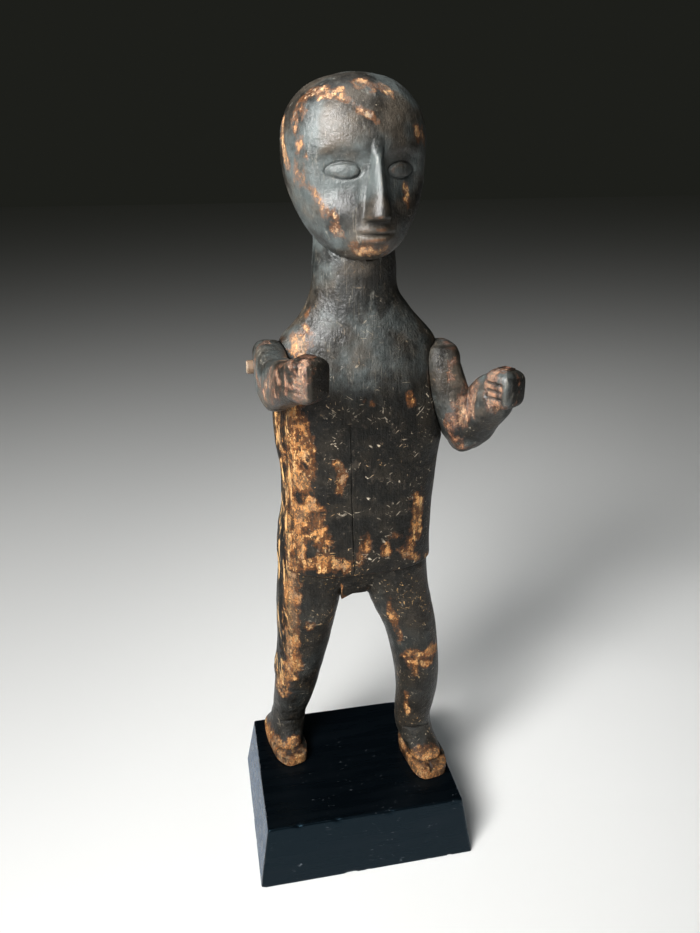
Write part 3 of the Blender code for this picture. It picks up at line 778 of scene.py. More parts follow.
# Worn places, in modules: strength, radius, and the points that each rubbed stroke runs through
HEAD_WEAR = (
    (0.85, 0.55, ((-7.0, -1.9, 94.9), (-6.2, -1.7, 96.6), (-4.9, -2.0, 97.8), (-2.5, -4.2, 97.5))),
    (0.92, 0.34, ((-2.5, -4.2, 97.5), (-0.6, -5.6, 96.1), (1.5, -6.0, 94.9))),
    (0.75, 0.70, ((0.4, -3.4, 98.4), (1.8, -3.7, 98.2), (3.0, -3.8, 97.8))),
    (0.90, 0.45, ((-7.7, 1.1, 95.2), (-8.1, 0.1, 92.4), (-7.7, -1.0, 90.3))),
    (0.80, 0.60, ((-6.3, -2.2, 96.0), (-6.7, -3.1, 92.0), (-6.6, -2.9, 88.8))),
    (0.60, 0.50, ((-6.3, -3.0, 88.5), (-5.0, -4.2, 87.0), (-3.8, -5.0, 85.2), (-2.8, -5.3, 83.4))),
    (0.95, 0.75, ((-0.9, -5.6, 81.4), (0.8, -6.0, 80.9), (3.2, -5.0, 80.9))),
    (0.55, 0.55, ((6.8, -3.5, 94.0), (7.6, -1.8, 93.4))),
    (0.60, 0.35, ((5.4, -4.2, 88.0), (5.2, -4.2, 85.2))),
    (0.70, 0.90, ((-2.0, 9.0, 97.0), (1.0, 9.6, 95.0), (2.5, 9.8, 92.0))),
    (0.55, 0.80, ((6.0, 6.0, 95.0), (7.0, 6.0, 91.0))),
)
TORSO_WEAR = (
    (0.60, 0.35, ((-5.9, 0.0, 73.1), (-5.4, -0.8, 74.0))),
    (0.90, 1.05, ((-6.9, -1.5, 70.3), (-7.2, -1.8, 68.7))),
    (1.10, 1.80, ((-9.2, -1.4, 62.0), (-9.0, -1.6, 57.0), (-8.6, -1.8, 52.0), (-8.5, -1.5, 47.0))),
    (1.45, 1.45, ((-8.5, -1.5, 47.0), (-8.6, -1.8, 43.0), (-8.8, -1.8, 38.6))),
    (0.90, 0.80, ((-7.4, -2.7, 59.5), (-6.8, -2.8, 56.0), (-6.2, -2.9, 53.0))),
    (0.85, 0.90, ((-7.0, -2.4, 48.5), (-5.4, -3.0, 47.0), (-5.2, -3.2, 44.0), (-4.6, -3.4, 42.0))),
    (1.25, 0.85, ((-8.6, -1.9, 38.8), (-3.9, -3.4, 38.8), (-1.9, -3.5, 38.3))),
    (0.62, 0.35, ((-2.8, -3.6, 54.2), (-2.0, -3.6, 51.9), (-2.4, -3.5, 49.4))),
    (0.55, 0.30, ((1.2, -4.0, 62.6), (1.9, -4.0, 62.2))),
    (0.62, 0.45, ((6.8, -3.5, 62.6), (7.3, -3.5, 61.8))),
    (0.72, 0.70, ((8.7, -2.7, 48.0), (8.8, -2.6, 45.0), (8.6, -2.7, 42.0), (7.2, -3.1, 39.8))),
    (0.72, 0.50, ((7.2, -3.1, 39.0), (9.5, -2.2, 38.0), (10.6, -1.2, 37.6))),
    (0.55, 0.60, ((5.4, -3.5, 41.8), (4.4, -3.6, 40.4))),
    (0.55, 0.50, ((1.3, -3.8, 42.5), (0.9, -3.8, 39.0))),
    (0.85, 1.10, ((-4.5, 7.2, 68.5), (-6.5, 6.6, 63.0))),
    (0.75, 1.00, ((6.0, 7.0, 66.5), (6.8, 6.8, 62.5))),
    (0.85, 0.80, ((-7.5, 6.4, 38.0), (-2.0, 7.4, 37.6), (4.0, 7.3, 37.6), (9.0, 5.6, 37.6))),
    (0.60, 1.20, ((2.0, 7.4, 50.0), (1.4, 7.4, 44.0))),
    (0.70, 0.80, ((12.2, 1.0, 48.0), (12.0, 1.6, 41.0))),
)
LEG_WEAR = (
    (1.15, 0.12, ((-1.78, -1.0, 34.9), (-1.78, -1.0, 31.4))),
    (1.75, 1.00, ((-9.0, -1.3, 36.0), (-9.3, -0.4, 30.0), (-9.4, 0.2, 25.0), (-9.2, 1.3, 19.0))),
    (1.40, 1.10, ((-9.2, 1.3, 19.0), (-10.4, 3.0, 15.5), (-10.6, 3.3, 13.0))),
    (0.85, 0.50, ((-6.7, -0.7, 26.9), (-6.7, -0.7, 27.3))),
    (0.70, 0.40, ((5.1, -1.9, 30.8), (6.1, -1.9, 27.2), (7.0, -1.9, 23.5))),
    (1.00, 0.85, ((8.8, -2.4, 20.7), (10.9, -2.5, 19.4), (12.0, -2.1, 21.0))),
    (0.70, 0.60, ((9.1, -2.4, 19.0), (9.1, -2.4, 17.4))),
    (0.60, 0.30, ((8.3, -1.6, 13.5), (8.4, -1.7, 9.5))),
    (0.80, 1.10, ((-8.4, 8.4, 24.0), (-9.0, 8.9, 17.0))),
    (0.75, 1.00, ((9.0, 5.4, 27.0), (10.2, 4.6, 18.0))),
    (0.70, 0.70, ((13.9, 1.0, 20.0), (13.9, 0.8, 15.0))),
)
FOOT_WEAR = (
    (1.90, 1.50, ((-14.4, 9.3, 0.6), (-12.9, 5.0, 0.8), (-11.0, 0.6, 0.9), (-8.6, 0.3, 0.9))),
    (1.10, 0.95, ((-10.2, 1.7, 2.2), (-8.6, 1.9, 2.4))),
    (1.90, 1.90, ((10.2, -5.6, 1.0), (11.6, -6.9, 1.0), (13.2, -6.0, 1.0))),
    (1.15, 0.95, ((10.8, -4.4, 2.8), (12.2, -4.3, 2.8))),
    (0.95, 0.70, ((-13.4, 7.6, 1.9), (-12.4, 3.6, 1.9), (-11.4, 0.8, 1.9))),
    (0.90, 0.70, ((8.2, 1.4, 1.5), (8.6, -2.4, 1.5), (9.4, -5.0, 1.5))),
    (0.80, 0.80, ((-12.4, 13.4, 1.0), (-9.6, 13.0, 1.0))),
    (0.75, 0.80, ((9.2, 6.9, 1.0), (12.2, 6.8, 1.0))),
)
# Where the grain has weathered open into ridges
OPEN_GRAIN = (
    (1.2, 1.5, ((-10.0, -0.1, 62.0), (-9.8, 0.4, 50.0), (-10.1, 0.6, 37.5))),
    (1.2, 1.2, ((-10.5, 0.6, 36.0), (-10.6, 1.0, 28.0), (-10.8, 3.0, 20.0), (-10.6, 4.6, 16.0))),
)
# Knife-cut creases round the ankles and behind the toes: depth, half width, and their runs
BODY_CREASES = (
    (0.26, 0.26, (
        (-12.6, 6.5, 5.2), (-11.6, 4.6, 5.5), (-9.4, 3.8, 5.8), (-7.2, 4.9, 5.5), (-6.6, 7.0, 5.2),
    )),
    (0.19, 0.22, ((-12.2, 6.5, 7.2), (-11.2, 4.2, 7.5), (-9.1, 3.4, 7.8), (-6.9, 4.5, 7.4))),
    (0.16, 0.18, ((-11.6, 3.2, 2.4), (-10.2, 2.4, 3.0), (-8.6, 2.5, 3.0), (-7.2, 3.4, 2.4))),
    (0.24, 0.25, (
        (7.5, 0.3, 6.0), (8.6, -1.6, 6.2), (10.3, -2.2, 6.4), (12.0, -1.5, 6.2), (13.0, 0.3, 6.0),
    )),
    (0.15, 0.17, ((8.9, -3.2, 2.4), (10.2, -3.9, 3.1), (11.8, -3.8, 3.1), (13.3, -3.0, 2.4))),
    (0.12, 0.14, ((8.6, -2.2, 3.0), (10.2, -2.9, 3.9), (11.7, -2.8, 3.9), (13.2, -2.0, 3.0))),
)
# A knot hole in the left foot's toe
TOE_HOLE = {"centre": (11.45, -7.0, 1.75), "half": (0.35, 1.2, 0.62), "depth": 0.9}


def chain_gap(points, chain):
    """Distance from each point to the nearest point of a chain of straight runs."""
    chain = np.array(chain, float)
    gap = np.full(len(points), 1e9)
    for start, end in zip(chain, chain[1:]):
        run = end - start
        t = np.clip((points - start) @ run / (run @ run), 0, 1)
        gap = np.minimum(gap, np.linalg.norm(points - start - t[:, None] * run, axis=1))
    return gap


def stroke_field(points, strokes):
    """The strongest stroke's pull at each point: strength x (1 - d^2 / 2 (1.25 r)^2)."""
    field = np.full(len(points), -3.0)
    for strength, radius, chain in strokes:
        pull = strength * (1 - 0.5 * (chain_gap(points, chain) / (1.25 * radius)) ** 2)
        field = np.maximum(field, pull)
    return field


def crease_cut(points, creases):
    """Depth of the deepest crease at each point, each a V of its own half width."""
    cut = np.zeros(len(points))
    for depth, half, chain in creases:
        cut = np.maximum(cut, depth * np.clip(1 - chain_gap(points, chain) / half, 0, 1))
    return cut


def edge_ends(mesh):
    """The two vertices of every edge, as two arrays."""
    ends = np.empty(len(mesh.edges) * 2, np.int32)
    mesh.edges.foreach_get("vertices", ends)
    return ends.reshape(-1, 2).T


def blurred(values, ends, times, share=1.0):
    """Move values towards the mean of their neighbours, a number of times, by a share at each."""
    a, b = ends
    values = np.array(values, float).reshape(len(values), -1)
    count = np.bincount(a, minlength=len(values)) + np.bincount(b, minlength=len(values))
    for _ in range(times):
        near = np.empty_like(values)
        for k, column in enumerate(values.T):
            near[:, k] = np.bincount(a, column[b], len(values)) + np.bincount(b, column[a], len(values))
        near /= np.maximum(count, 1)[:, None]
        values += np.reshape(share, (-1, 1)) * (near - values)
    return values


def in_modules(points):
    """Metres above the floor, in modules above the soles."""
    return (points - np.array((0.0, 0.0, SOLES))) / MODULE


def crack_cut(places):
    """Depth of the long crack, in modules: a V that closes at both ends."""
    line = np.interp(places[:, 2], CRACK["z"], CRACK["x"])
    line = line + 0.05 * value_noise(places * (0, 0, 1), 1.6, 21)
    width = CRACK["half"] * (1 + 0.35 * value_noise(places * (0, 0, 1), 2.3, 22))
    ends = step_up(places[:, 2], 36.0, 37.5) * (1 - step_up(places[:, 2], 58.5, 61.2))
    front = places[:, 1] < 0
    return CRACK["depth"] * np.clip(1 - np.abs(places[:, 0] - line) / width, 0, 1) * ends * front


def weathered(mesh, wear, creases, still, cut, open_grain, facets):
    """Wear a mesh, and keep what the material needs as attributes of its points.

    Wear is the strokes' pull, more on ridges and less in hollows, broken up by noise. The relief
    is tool facets, upright fibres, opened grain, the crust's own thickness, small dents, and the
    cuts and creases. Still is 1 where the surface keeps its place and its crust.
    """
    points, normals = mesh_points(mesh)
    ends = edge_ends(mesh)
    places = in_modules(points)
    bulge = ((points - blurred(points, ends, 6)) * normals).sum(axis=1) / MODULE
    bulge = blurred(bulge, ends, 2)[:, 0]
    ridge = step_up(bulge, 0.02, 0.12)
    hollow = step_up(-bulge, 0.02, 0.12)
    patch = rough_noise(places, (1.3, 1.3, 2.2), 4, 31)
    streak = rough_noise(places, (0.42, 0.42, 3.6), 2, 41)
    bare = 0.80 * stroke_field(places, wear) - 0.06 + 0.28 * patch + 0.12 * streak
    bare = bare + 0.42 * ridge - 0.5 * hollow
    grain = np.clip(stroke_field(places, open_grain), 0, 1)
    creased = crease_cut(places, creases)
    tooled = facets * rough_noise(places, (2.4, 2.4, 5.0), 2, 51)
    below_head = places[:, 2] < 80
    fibres = FIBRE_HEIGHT * rough_noise(places, (0.8, 0.8, 4.5), 2, 61) * below_head
    ridges = value_noise(places, (0.62, 0.62, 5.5), 71) + 0.5 * value_noise(places, (0.36, 0.36, 4.0), 72)
    opened = grain * (OPEN_HEIGHT * ridges - OPEN_SINK)
    crust = CRUST_DEPTH * step_up(bare, 0.40, 0.60)
    dents = DENT_DEPTH * step_up(rough_noise(places, 1.1, 2, 81), 0.8, 1.3) * below_head
    relief = (tooled + fibres + opened - crust - dents) * (1 - still) - cut - creased
    points = points + normals * (relief * MODULE)[:, None]
    points[:, 2] = np.maximum(points[:, 2], SOLES)
    moved(mesh, points)
    bare = np.where(still > 0.95, -1.0, np.clip(bare, -1.0, 1.6))
    hollow = np.clip(0.8 * hollow + step_up(cut, 0.03, 0.15) + step_up(creased, 0.02, 0.10), 0, 1)
    kept(mesh, bare=bare, hollow=hollow, ridge=ridge * (1 - still), grain=grain)


def weathered_body(mesh):
    """Soften the body's joins and wear it.

    Bloom and painted sheen, partly the grey of handling and partly painted light from above, is on the head
    and chest and less on the legs; painted shade takes it down towards the figure's left. The crust is
    flecked with nicks where there is none.
    """
    points, _ = mesh_points(mesh)
    ends = edge_ends(mesh)
    places = in_modules(points)
    x, y, z = places.T
    ankle = step_up(z, 3.2, 4.6) * (1 - step_up(z, 7.5, 9.5))
    tab = (np.abs(places - FORK_TAB["centre"]) < np.array(FORK_TAB["half"]) + 0.12).all(axis=1)
    crotch = 0.7 * step_up(z, 29.5, 31.0) * (1 - step_up(z, 34.6, 36.0)) * ~tab
    nape = step_up(z, 78.5, 80.0) * (1 - step_up(z, 86.0, 89.0)) * step_up(y, -1.5, 2.5)
    arms = ((RIGHT_UPPER_ARM, -1), (LEFT_UPPER_ARM, 1))
    gaps = [chain_gap(places, from_shoulder(np.array(table)[:, :3], side)) for table, side in arms]
    seat = 1 - step_up(np.min(gaps, axis=0), 3.2, 4.0)
    moved(mesh, blurred(points, ends, 14, np.clip(ankle + crotch + nape, 0, 1) * (1 - seat)))
    hole = np.linalg.norm((places - TOE_HOLE["centre"]) / TOE_HOLE["half"], axis=1)
    cut = crack_cut(places) + TOE_HOLE["depth"] * np.clip(1 - hole, 0, 1)
    wear = HEAD_WEAR + TORSO_WEAR + LEG_WEAR + FOOT_WEAR
    weathered(mesh, wear, BODY_CREASES, np.maximum(seat, 0.9 * tab), cut, OPEN_GRAIN, BODY_FACETS)
    # The bloom and painted sheen is strongest where chest, neck and head face the light from above; shaded
    # is painted shade towards the figure's left, less on the head, and there is less of it in the seat
    upper = step_up(z, 60.5, 66.5) * (0.72 + 0.28 * step_up(z, 72, 82))
    legs = 1 - step_up(z, 34.5, 36.5)
    shaded = 1 - 0.65 * step_up(x, -1.0, 6.5) * (1 - 0.45 * step_up(z, 82, 92))
    bloom = np.clip(upper * shaded + 0.16 * legs + 0.03, 0, 1) * (1 - 0.6 * seat)
    kept(mesh, bloom=bloom, flecked=(1 - upper) * (1 - 0.25 * legs))


CRUST_BLACK = (0.0060, 0.0056, 0.0046, 1.0)
CRUST_BROWN = (0.017, 0.014, 0.010, 1.0)
# Grey and brown of the bloom, partly painted sheen; the brown also tints scuffs in the crust
BLOOM_AND_SHEEN_GREY = (0.098, 0.114, 0.112, 1.0)
BLOOM_SHEEN_AND_SCUFF_BROWN = (0.084, 0.068, 0.051, 1.0)
SMEAR_AND_HIGHLIGHT_PALE = (0.34, 0.325, 0.28, 1.0)
FIBRE_DARK = (0.050, 0.030, 0.018, 1.0)
FILM_GREY = (0.155, 0.125, 0.092, 1.0)
SCUFF_PALE = (0.50, 0.43, 0.33, 1.0)
LOG_WOOD = {
    "mid": (0.46, 0.205, 0.064, 1.0), "pale": (0.74, 0.450, 0.190, 1.0), "deep": (0.20, 0.072, 0.020, 1.0),
}
# The frayed wear at which crust gives way to wood, and how gradually it does on the log
WORN_THROUGH = 3.375
LOG_FRAY = 0.035
# How far nicks that cross can go towards bare wood
NICKS_MOST = 0.5
BUMP_HEIGHT = 0.0013


def turned(tree, place, angles):
    """A place turned about the three axes, so that a pattern on it runs aslant."""
    return put(tree, "Mapping", {"Vector": place, "Rotation": angles}).outputs[0]


def slashes(tree, place, tilt, scale, start):
    """Short thin marks, drawn out seven times along a line tilted from the upright about Y."""
    marks = drawn_cloud(tree, turned(tree, place, (0.3, tilt, 0.2)), (1.0, 1.0, 0.14), scale, 1.0, 0.5)
    return ramp(tree, marks, start, start + 0.035)


def tall_cloud(tree, place, share, scale, detail=3.0, rough=0.6):
    """Noise whose features are a share of Z's own scale, so 1 / share times as tall as wide."""
    return drawn_cloud(tree, place, (1.0, 1.0, share), scale, detail, rough)


def patinated_wood(name, wood_tints, fray):
    """Dark handled crust over bare wood.

    The mesh's own fields say where the crust is thin, and noises fray its edge, which is as soft
    as the fray is wide, and leave islands in the bare wood. Short marks drawn out on four slants
    are nicks and scratches in the crust, and broader ones are chips.
    """
    finish, tree, place = new_finish(name)
    fine = cloud(tree, place, 620, 4.0, 0.65)
    ragged = cloud(tree, place, 140, 6.0, 0.62)
    fibre = tall_cloud(tree, place, 0.07, 850)
    streaks = tall_cloud(tree, place, 0.07, 260)
    blotch = cloud(tree, place, 75, 4.0, 0.6)
    broad = cloud(tree, place, 26, 3.0, 0.5)
    bloom = attribute(tree, "bloom")
    hollow = attribute(tree, "hollow")
    grain = attribute(tree, "grain")
    ridge = attribute(tree, "ridge")
    flecks = attribute(tree, "flecked")

    frayed = sum_of(tree, ragged, attribute(tree, "bare"), 3.8)
    frayed = sum_of(tree, streaks, frayed, 1.2)
    frayed = sum_of(tree, fine, frayed, 0.6)
    worn = ramp(tree, frayed, WORN_THROUGH - fray, WORN_THROUGH + fray)
    thin = ramp(tree, frayed, 2.75, 3.40)

    crust = tint(tree, ramp(tree, blotch, 0.42, 0.66), CRUST_BLACK, CRUST_BROWN)
    # Where the bloom and painted sheen field is high, the crust takes this grey and brown
    pale_overlay = tint(tree, ramp(tree, broad, 0.42, 0.56), BLOOM_AND_SHEEN_GREY, BLOOM_SHEEN_AND_SCUFF_BROWN)
    bloom_and_sheen_share = product(tree, bloom, ramp(tree, sum_of(tree, streaks, ragged, 0.6), 0.60, 0.95, 0.68, 1.0))
    bloom_and_sheen_share = product(tree, bloom_and_sheen_share, ramp(tree, cloud(tree, place, 30, 6.0, 0.66), 0.40, 0.60, 0.08, 1.0))
    crust = tint(tree, bloom_and_sheen_share, crust, pale_overlay)
    # Pale smears, partly painted highlight streaks, lie only where the bloom and painted sheen is
    smear_and_highlight = ramp(tree, tall_cloud(tree, place, 0.35, 150, 6.0, 0.70), 0.58, 0.72, 0.0, 0.50)
    crust = tint(tree, product(tree, smear_and_highlight, bloom), crust, SMEAR_AND_HIGHLIGHT_PALE)
    crust = tint(tree, product(tree, thin, 0.50), crust, wood_tints["deep"])
    rubbed = product(tree, ridge, ramp(tree, ragged, 0.42, 0.60, 0.0, 0.6))
    crust = tint(tree, rubbed, crust, wood_tints["deep"])

    ripe = ramp(tree, sum_of(tree, blotch, ragged, 0.7), 0.76, 0.98)
    wood = tint(tree, ripe, wood_tints["deep"], wood_tints["mid"])
    wood = tint(tree, ramp(tree, sum_of(tree, streaks, fine, 0.8), 0.88, 1.12), wood, wood_tints["pale"])
    line = sum_of(tree, tall_cloud(tree, place, 0.40, 190, 5.0), -0.5)
    off = put(tree, "Math", {0: line}, operation="ABSOLUTE").outputs[0]
    checks = ramp(tree, off, 0.006, 0.026, 0.85, 0.0)
    wood = tint(tree, checks, wood, FIBRE_DARK)
    film = ramp(tree, tall_cloud(tree, place, 0.45, 95, 6.0, 0.70), 0.50, 0.64, 0.0, 0.60)
    wood = tint(tree, film, wood, FILM_GREY)
    islands = ramp(tree, tall_cloud(tree, place, 0.50, 170, 6.0, 0.68), 0.575, 0.60, 0.0, 0.90)
    wood = tint(tree, islands, wood, CRUST_BROWN)
    wood = tint(tree, ramp(tree, fibre, 0.58, 0.72, 0.0, 0.55), wood, FIBRE_DARK)
    stain = ramp(tree, sum_of(tree, fine, blotch, 0.8), 0.90, 1.04, 0.0, 0.85)
    wood = tint(tree, stain, wood, FIBRE_DARK)
    # Bare wood is paled a little where the painted sheen lies
    wood = tint(tree, product(tree, bloom, 0.14), wood, SMEAR_AND_HIGHLIGHT_PALE)

    scuffed = ramp(tree, sum_of(tree, fine, ragged, 0.5), 0.80, 0.96, 0.0, 0.35)
    crust = tint(tree, product(tree, scuffed, flecks), crust, BLOOM_SHEEN_AND_SCUFF_BROWN)
    nicks = slashes(tree, place, 0.95, 700, 0.690)
    for tilt, scale, start in ((-0.80, 620, 0.690), (1.55, 800, 0.700), (0.10, 560, 0.700)):
        nicks = sum_of(tree, slashes(tree, place, tilt, scale, start), nicks)
    nicks = product(tree, nicks, ramp(tree, ragged, 0.40, 0.56))
    nicks = product(tree, nicks, product(tree, flecks, ramp(tree, blotch, 0.47, 0.60)))
    nicks = put(tree, "Math", {0: nicks, 1: NICKS_MOST}, operation="MINIMUM").outputs[0]
    specks = ramp(tree, fine, 0.665, 0.72)
    specks = product(tree, specks, ramp(tree, broad, 0.44, 0.60, 0.10, 0.75))
    hairs = ramp(tree, tall_cloud(tree, place, 0.02, 1100, 1.0, 0.55), 0.69, 0.74, 0.0, 0.18)
    crust = tint(tree, product(tree, hairs, bloom), crust, SCUFF_PALE)
    crust = tint(tree, specks, crust, SCUFF_PALE)
    mark = tint(tree, ramp(tree, broad, 0.45, 0.58), SCUFF_PALE, wood_tints["pale"])
    crust = tint(tree, nicks, crust, mark)
    aslant = turned(tree, place, (0.3, 0.7, 0.2))
    chips = ramp(tree, tall_cloud(tree, aslant, 0.40, 260, 4.0, 0.62), 0.665, 0.69)
    chips = product(tree, chips, ramp(tree, cloud(tree, place, 48, 2.0), 0.50, 0.62))
    crust = tint(tree, product(tree, chips, flecks), crust, mark)

    colour = tint(tree, worn, crust, wood)
    furrow = tall_cloud(tree, place, 0.15, 300)
    splinter = product(tree, grain, ramp(tree, furrow, 0.56, 0.62))
    open_dark = product(tree, grain, ramp(tree, furrow, 0.52, 0.46))
    colour = tint(tree, product(tree, splinter, 0.75), colour, wood_tints["pale"])
    colour = tint(tree, product(tree, open_dark, 0.95), colour, CRUST_BLACK)
    # Darker towards crust black in hollows, creases and the crack: partly crust kept in the hollows, partly
    # painted shade in the narrow cuts
    colour = tint(tree, product(tree, hollow, 0.85), colour, CRUST_BLACK)

    glossy = ramp(tree, blotch, 0.35, 0.65, 0.32, 0.47)
    sheen = ramp(tree, bloom, 0.1, 0.9, 0.17, 0.56)
    rough = put(tree, "Mix", {0: worn, 2: glossy, 3: 0.66}, data_type="FLOAT").outputs[0]
    height = sum_of(tree, worn, product(tree, fibre, 0.35), -0.9)
    height = sum_of(tree, ragged, height, 1.2)
    height = sum_of(tree, fine, height, 0.5)
    height = sum_of(tree, nicks, height, -0.6)
    height = sum_of(tree, product(tree, worn, islands), height, 0.7)
    height = sum_of(tree, product(tree, grain, furrow), height, 3.0)
    polish = ramp(tree, bloom, 0.3, 1.0, 1.0, 0.50)
    bump = put(tree, "Bump", {"Height": height, "Strength": polish, "Distance": BUMP_HEIGHT}).outputs[0]
    plug(tree, tree.nodes["Principled BSDF"], {
        "Base Color": colour, "Roughness": rough, "Normal": bump,
        "Specular IOR Level": sheen, "Coat Weight": 0.05, "Coat Roughness": 0.30,
    })
    return finish


weathered_body(body.data)
body.data.materials.clear()
body.data.materials.append(patinated_wood("body_patina", LOG_WOOD, LOG_FRAY))
body.data.shade_smooth()
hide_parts("figure_body")
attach(body, "root")

# Arms: each is one carved limb with a bent elbow and a closed fist, let into a seat in the
# shoulder and held by one peg. Their wood is redder, and rubbed brightest on fists and rims.
RIGHT_FOREARM = (
    (-0.3, -2.6, -0.7, 1.6, 2.5),
    (-0.4, -4.4, -0.8, 2.1, 3.0),
    (-1.0, -7.8, 0.0, 2.15, 2.75),
    (-1.8, -10.8, 1.0, 2.05, 2.5),
    (-2.5, -12.6, 1.8, 1.8, 2.2),
)
LEFT_FOREARM = (
    (3.2, 0.9, -11.8, 1.0, 1.3),
    (3.5, 0.2, -11.2, 2.0, 2.3),
    (4.0, -1.4, -9.5, 2.6, 2.9),
    (4.9, -4.0, -6.2, 2.5, 3.0),
    (5.7, -6.5, -3.3, 2.3, 2.6),
    (6.1, -7.6, -2.3, 1.9, 2.1),
)
RIGHT_FIST = {"centre": (-2.75, -13.2, 2.0), "turn": -8.0, "flatness": 5.0, "groove": 0.07}
LEFT_FIST = {"centre": (6.15, -7.9, -2.3), "turn": -18.0, "flatness": 3.0, "groove": 0.27}
UPPER_ARM_GRID = (110, 112)
FOREARM_GRID = (80, 100)
FIST_GRID = (64, 120)
FOREARM_SQUARENESS = 3.4
FIST_HALF = (2.55, 2.4, 2.6)
FIST_SQUARENESS = 1.25
FINGERS = 4
FINGER_LENGTH = 2.1
FINGER_GROOVE_HALF = 0.27
FINGER_PITCH = 0.95
# How much of the grey bloom and painted sheen each arm has, and how lightly both are flecked with nicks
RIGHT_ARM_BLOOM_AND_SHEEN = 0.95
LEFT_ARM_BLOOM_AND_SHEEN = 0.90
ARM_FLECKED = 0.35
RIGHT_ARM_WEAR = (
    (0.80, 0.40, ((-10.7, 0.2, 69.7), (-12.4, -1.5, 68.2), (-12.6, -4.4, 65.7), (-11.9, -6.8, 65.4))),
    (0.62, 1.00, ((-11.8, -6.9, 66.2), (-11.1, -9.8, 67.2))),
    (0.55, 0.70, ((-9.8, -9.0, 69.8), (-9.3, -12.0, 70.2), (-8.9, -14.0, 70.4))),
    (0.80, 0.70, ((-8.3, -14.2, 70.8), (-8.7, -14.8, 68.9), (-8.8, -14.4, 67.6))),
    (0.50, 0.45, ((-7.2, -14.8, 67.6), (-6.9, -14.4, 66.9))),
    (0.60, 0.35, ((-10.2, -12.8, 70.0), (-10.3, -12.9, 68.2), (-10.2, -12.4, 66.8))),
    (0.75, 0.90, ((-12.0, 3.0, 67.5), (-11.0, 4.1, 66.4))),
)
LEFT_ARM_WEAR = (
    (0.52, 0.45, ((10.2, -1.6, 68.2), (9.9, -2.2, 64.8), (10.5, -3.0, 63.0))),
    (0.30, 0.60, ((11.8, -3.4, 66.4), (12.3, -3.8, 64.5))),
    (0.95, 1.05, ((12.8, -4.1, 59.2), (13.7, -4.3, 60.5), (14.6, -4.6, 61.9), (15.2, -4.8, 63.5))),
    (0.75, 0.55, ((12.2, -3.7, 59.0), (12.7, -3.7, 57.3), (14.0, -3.7, 55.2))),
    (1.05, 1.00, ((16.1, -8.2, 66.2), (16.0, -8.1, 64.9), (16.4, -8.4, 62.6))),
    (1.00, 0.30, ((16.8, -9.2, 66.4), (16.8, -9.2, 63.0))),
    (0.62, 0.25, ((18.9, -9.0, 66.2), (19.4, -9.0, 64.5), (18.6, -9.2, 62.6))),
    (0.75, 0.90, ((14.0, 3.2, 63.0), (15.2, 2.9, 59.0))),
)
LEFT_ARM_CREASES = (
    (0.14, 0.16, ((9.8, -2.2, 62.2), (10.6, -3.1, 62.4), (12.1, -4.0, 63.0), (13.8, -3.6, 63.7))),
)
ARM_WOOD = {
    "mid": (0.32, 0.135, 0.062, 1.0), "pale": (0.46, 0.280, 0.150, 1.0), "deep": (0.150, 0.056, 0.028, 1.0),
}
ARM_FRAY = 0.28


def fist_place(fist, side, points):
    """Turn points about a fist's upright axis and move them to its centre."""
    centre = from_shoulder(fist["centre"], side)
    x, y = swung(fist["turn"], centre, points[..., 0], points[..., 1])
    return placed(np.stack((x, y, centre[2] + points[..., 2]), axis=-1))


def fist_mesh(name, fist, side):
    """A closed hand: an upright block, four-cornered in plan, that rounds over above and below.

    At a share s of its half height it is (1 - |s|^1.4f)^0.45 of its full plan for a flatness f,
    and never less than 0.45 of it, so that it ends in small flats.
    """
    share = np.sin(np.linspace(-pi / 2, pi / 2, FIST_GRID[0]))
    size = np.maximum((1 - np.abs(share) ** (1.4 * fist["flatness"])) ** 0.45, 0.45)
    turn = shared_turns(FIST_GRID[1], *FIST_HALF[:2], FIST_SQUARENESS, seen_more)
    squareness = np.full(len(size), FIST_SQUARENESS)
    a, b = superellipse(turn, FIST_HALF[0] * size, FIST_HALF[1] * size, squareness)
    z = np.broadcast_to((share * FIST_HALF[2])[:, None], a.shape)
    return shell(name, fist_place(fist, side, np.stack((a, b, z), axis=-1)))


def finger_creases(fist, side):
    """The grooves between a fist's fingers: level lines on the front facet on the figure's right."""
    corner = np.array((0.0, -FIST_HALF[1]))
    flank = np.array((-FIST_HALF[0], 0.0))
    run = (flank - corner) / np.linalg.norm(flank - corner) * FINGER_LENGTH / 2
    middle = (corner + flank) * 0.5 ** (1 / FIST_SQUARENESS)
    creases = []
    for k in range(1, FINGERS):
        level = (k - FINGERS / 2) * FINGER_PITCH
        ends = np.array([(*(middle - run), level), (*(middle + run), level)])
        creases.append((fist["groove"], FINGER_GROOVE_HALF, in_modules(fist_place(fist, side, ends))))
    return tuple(creases)


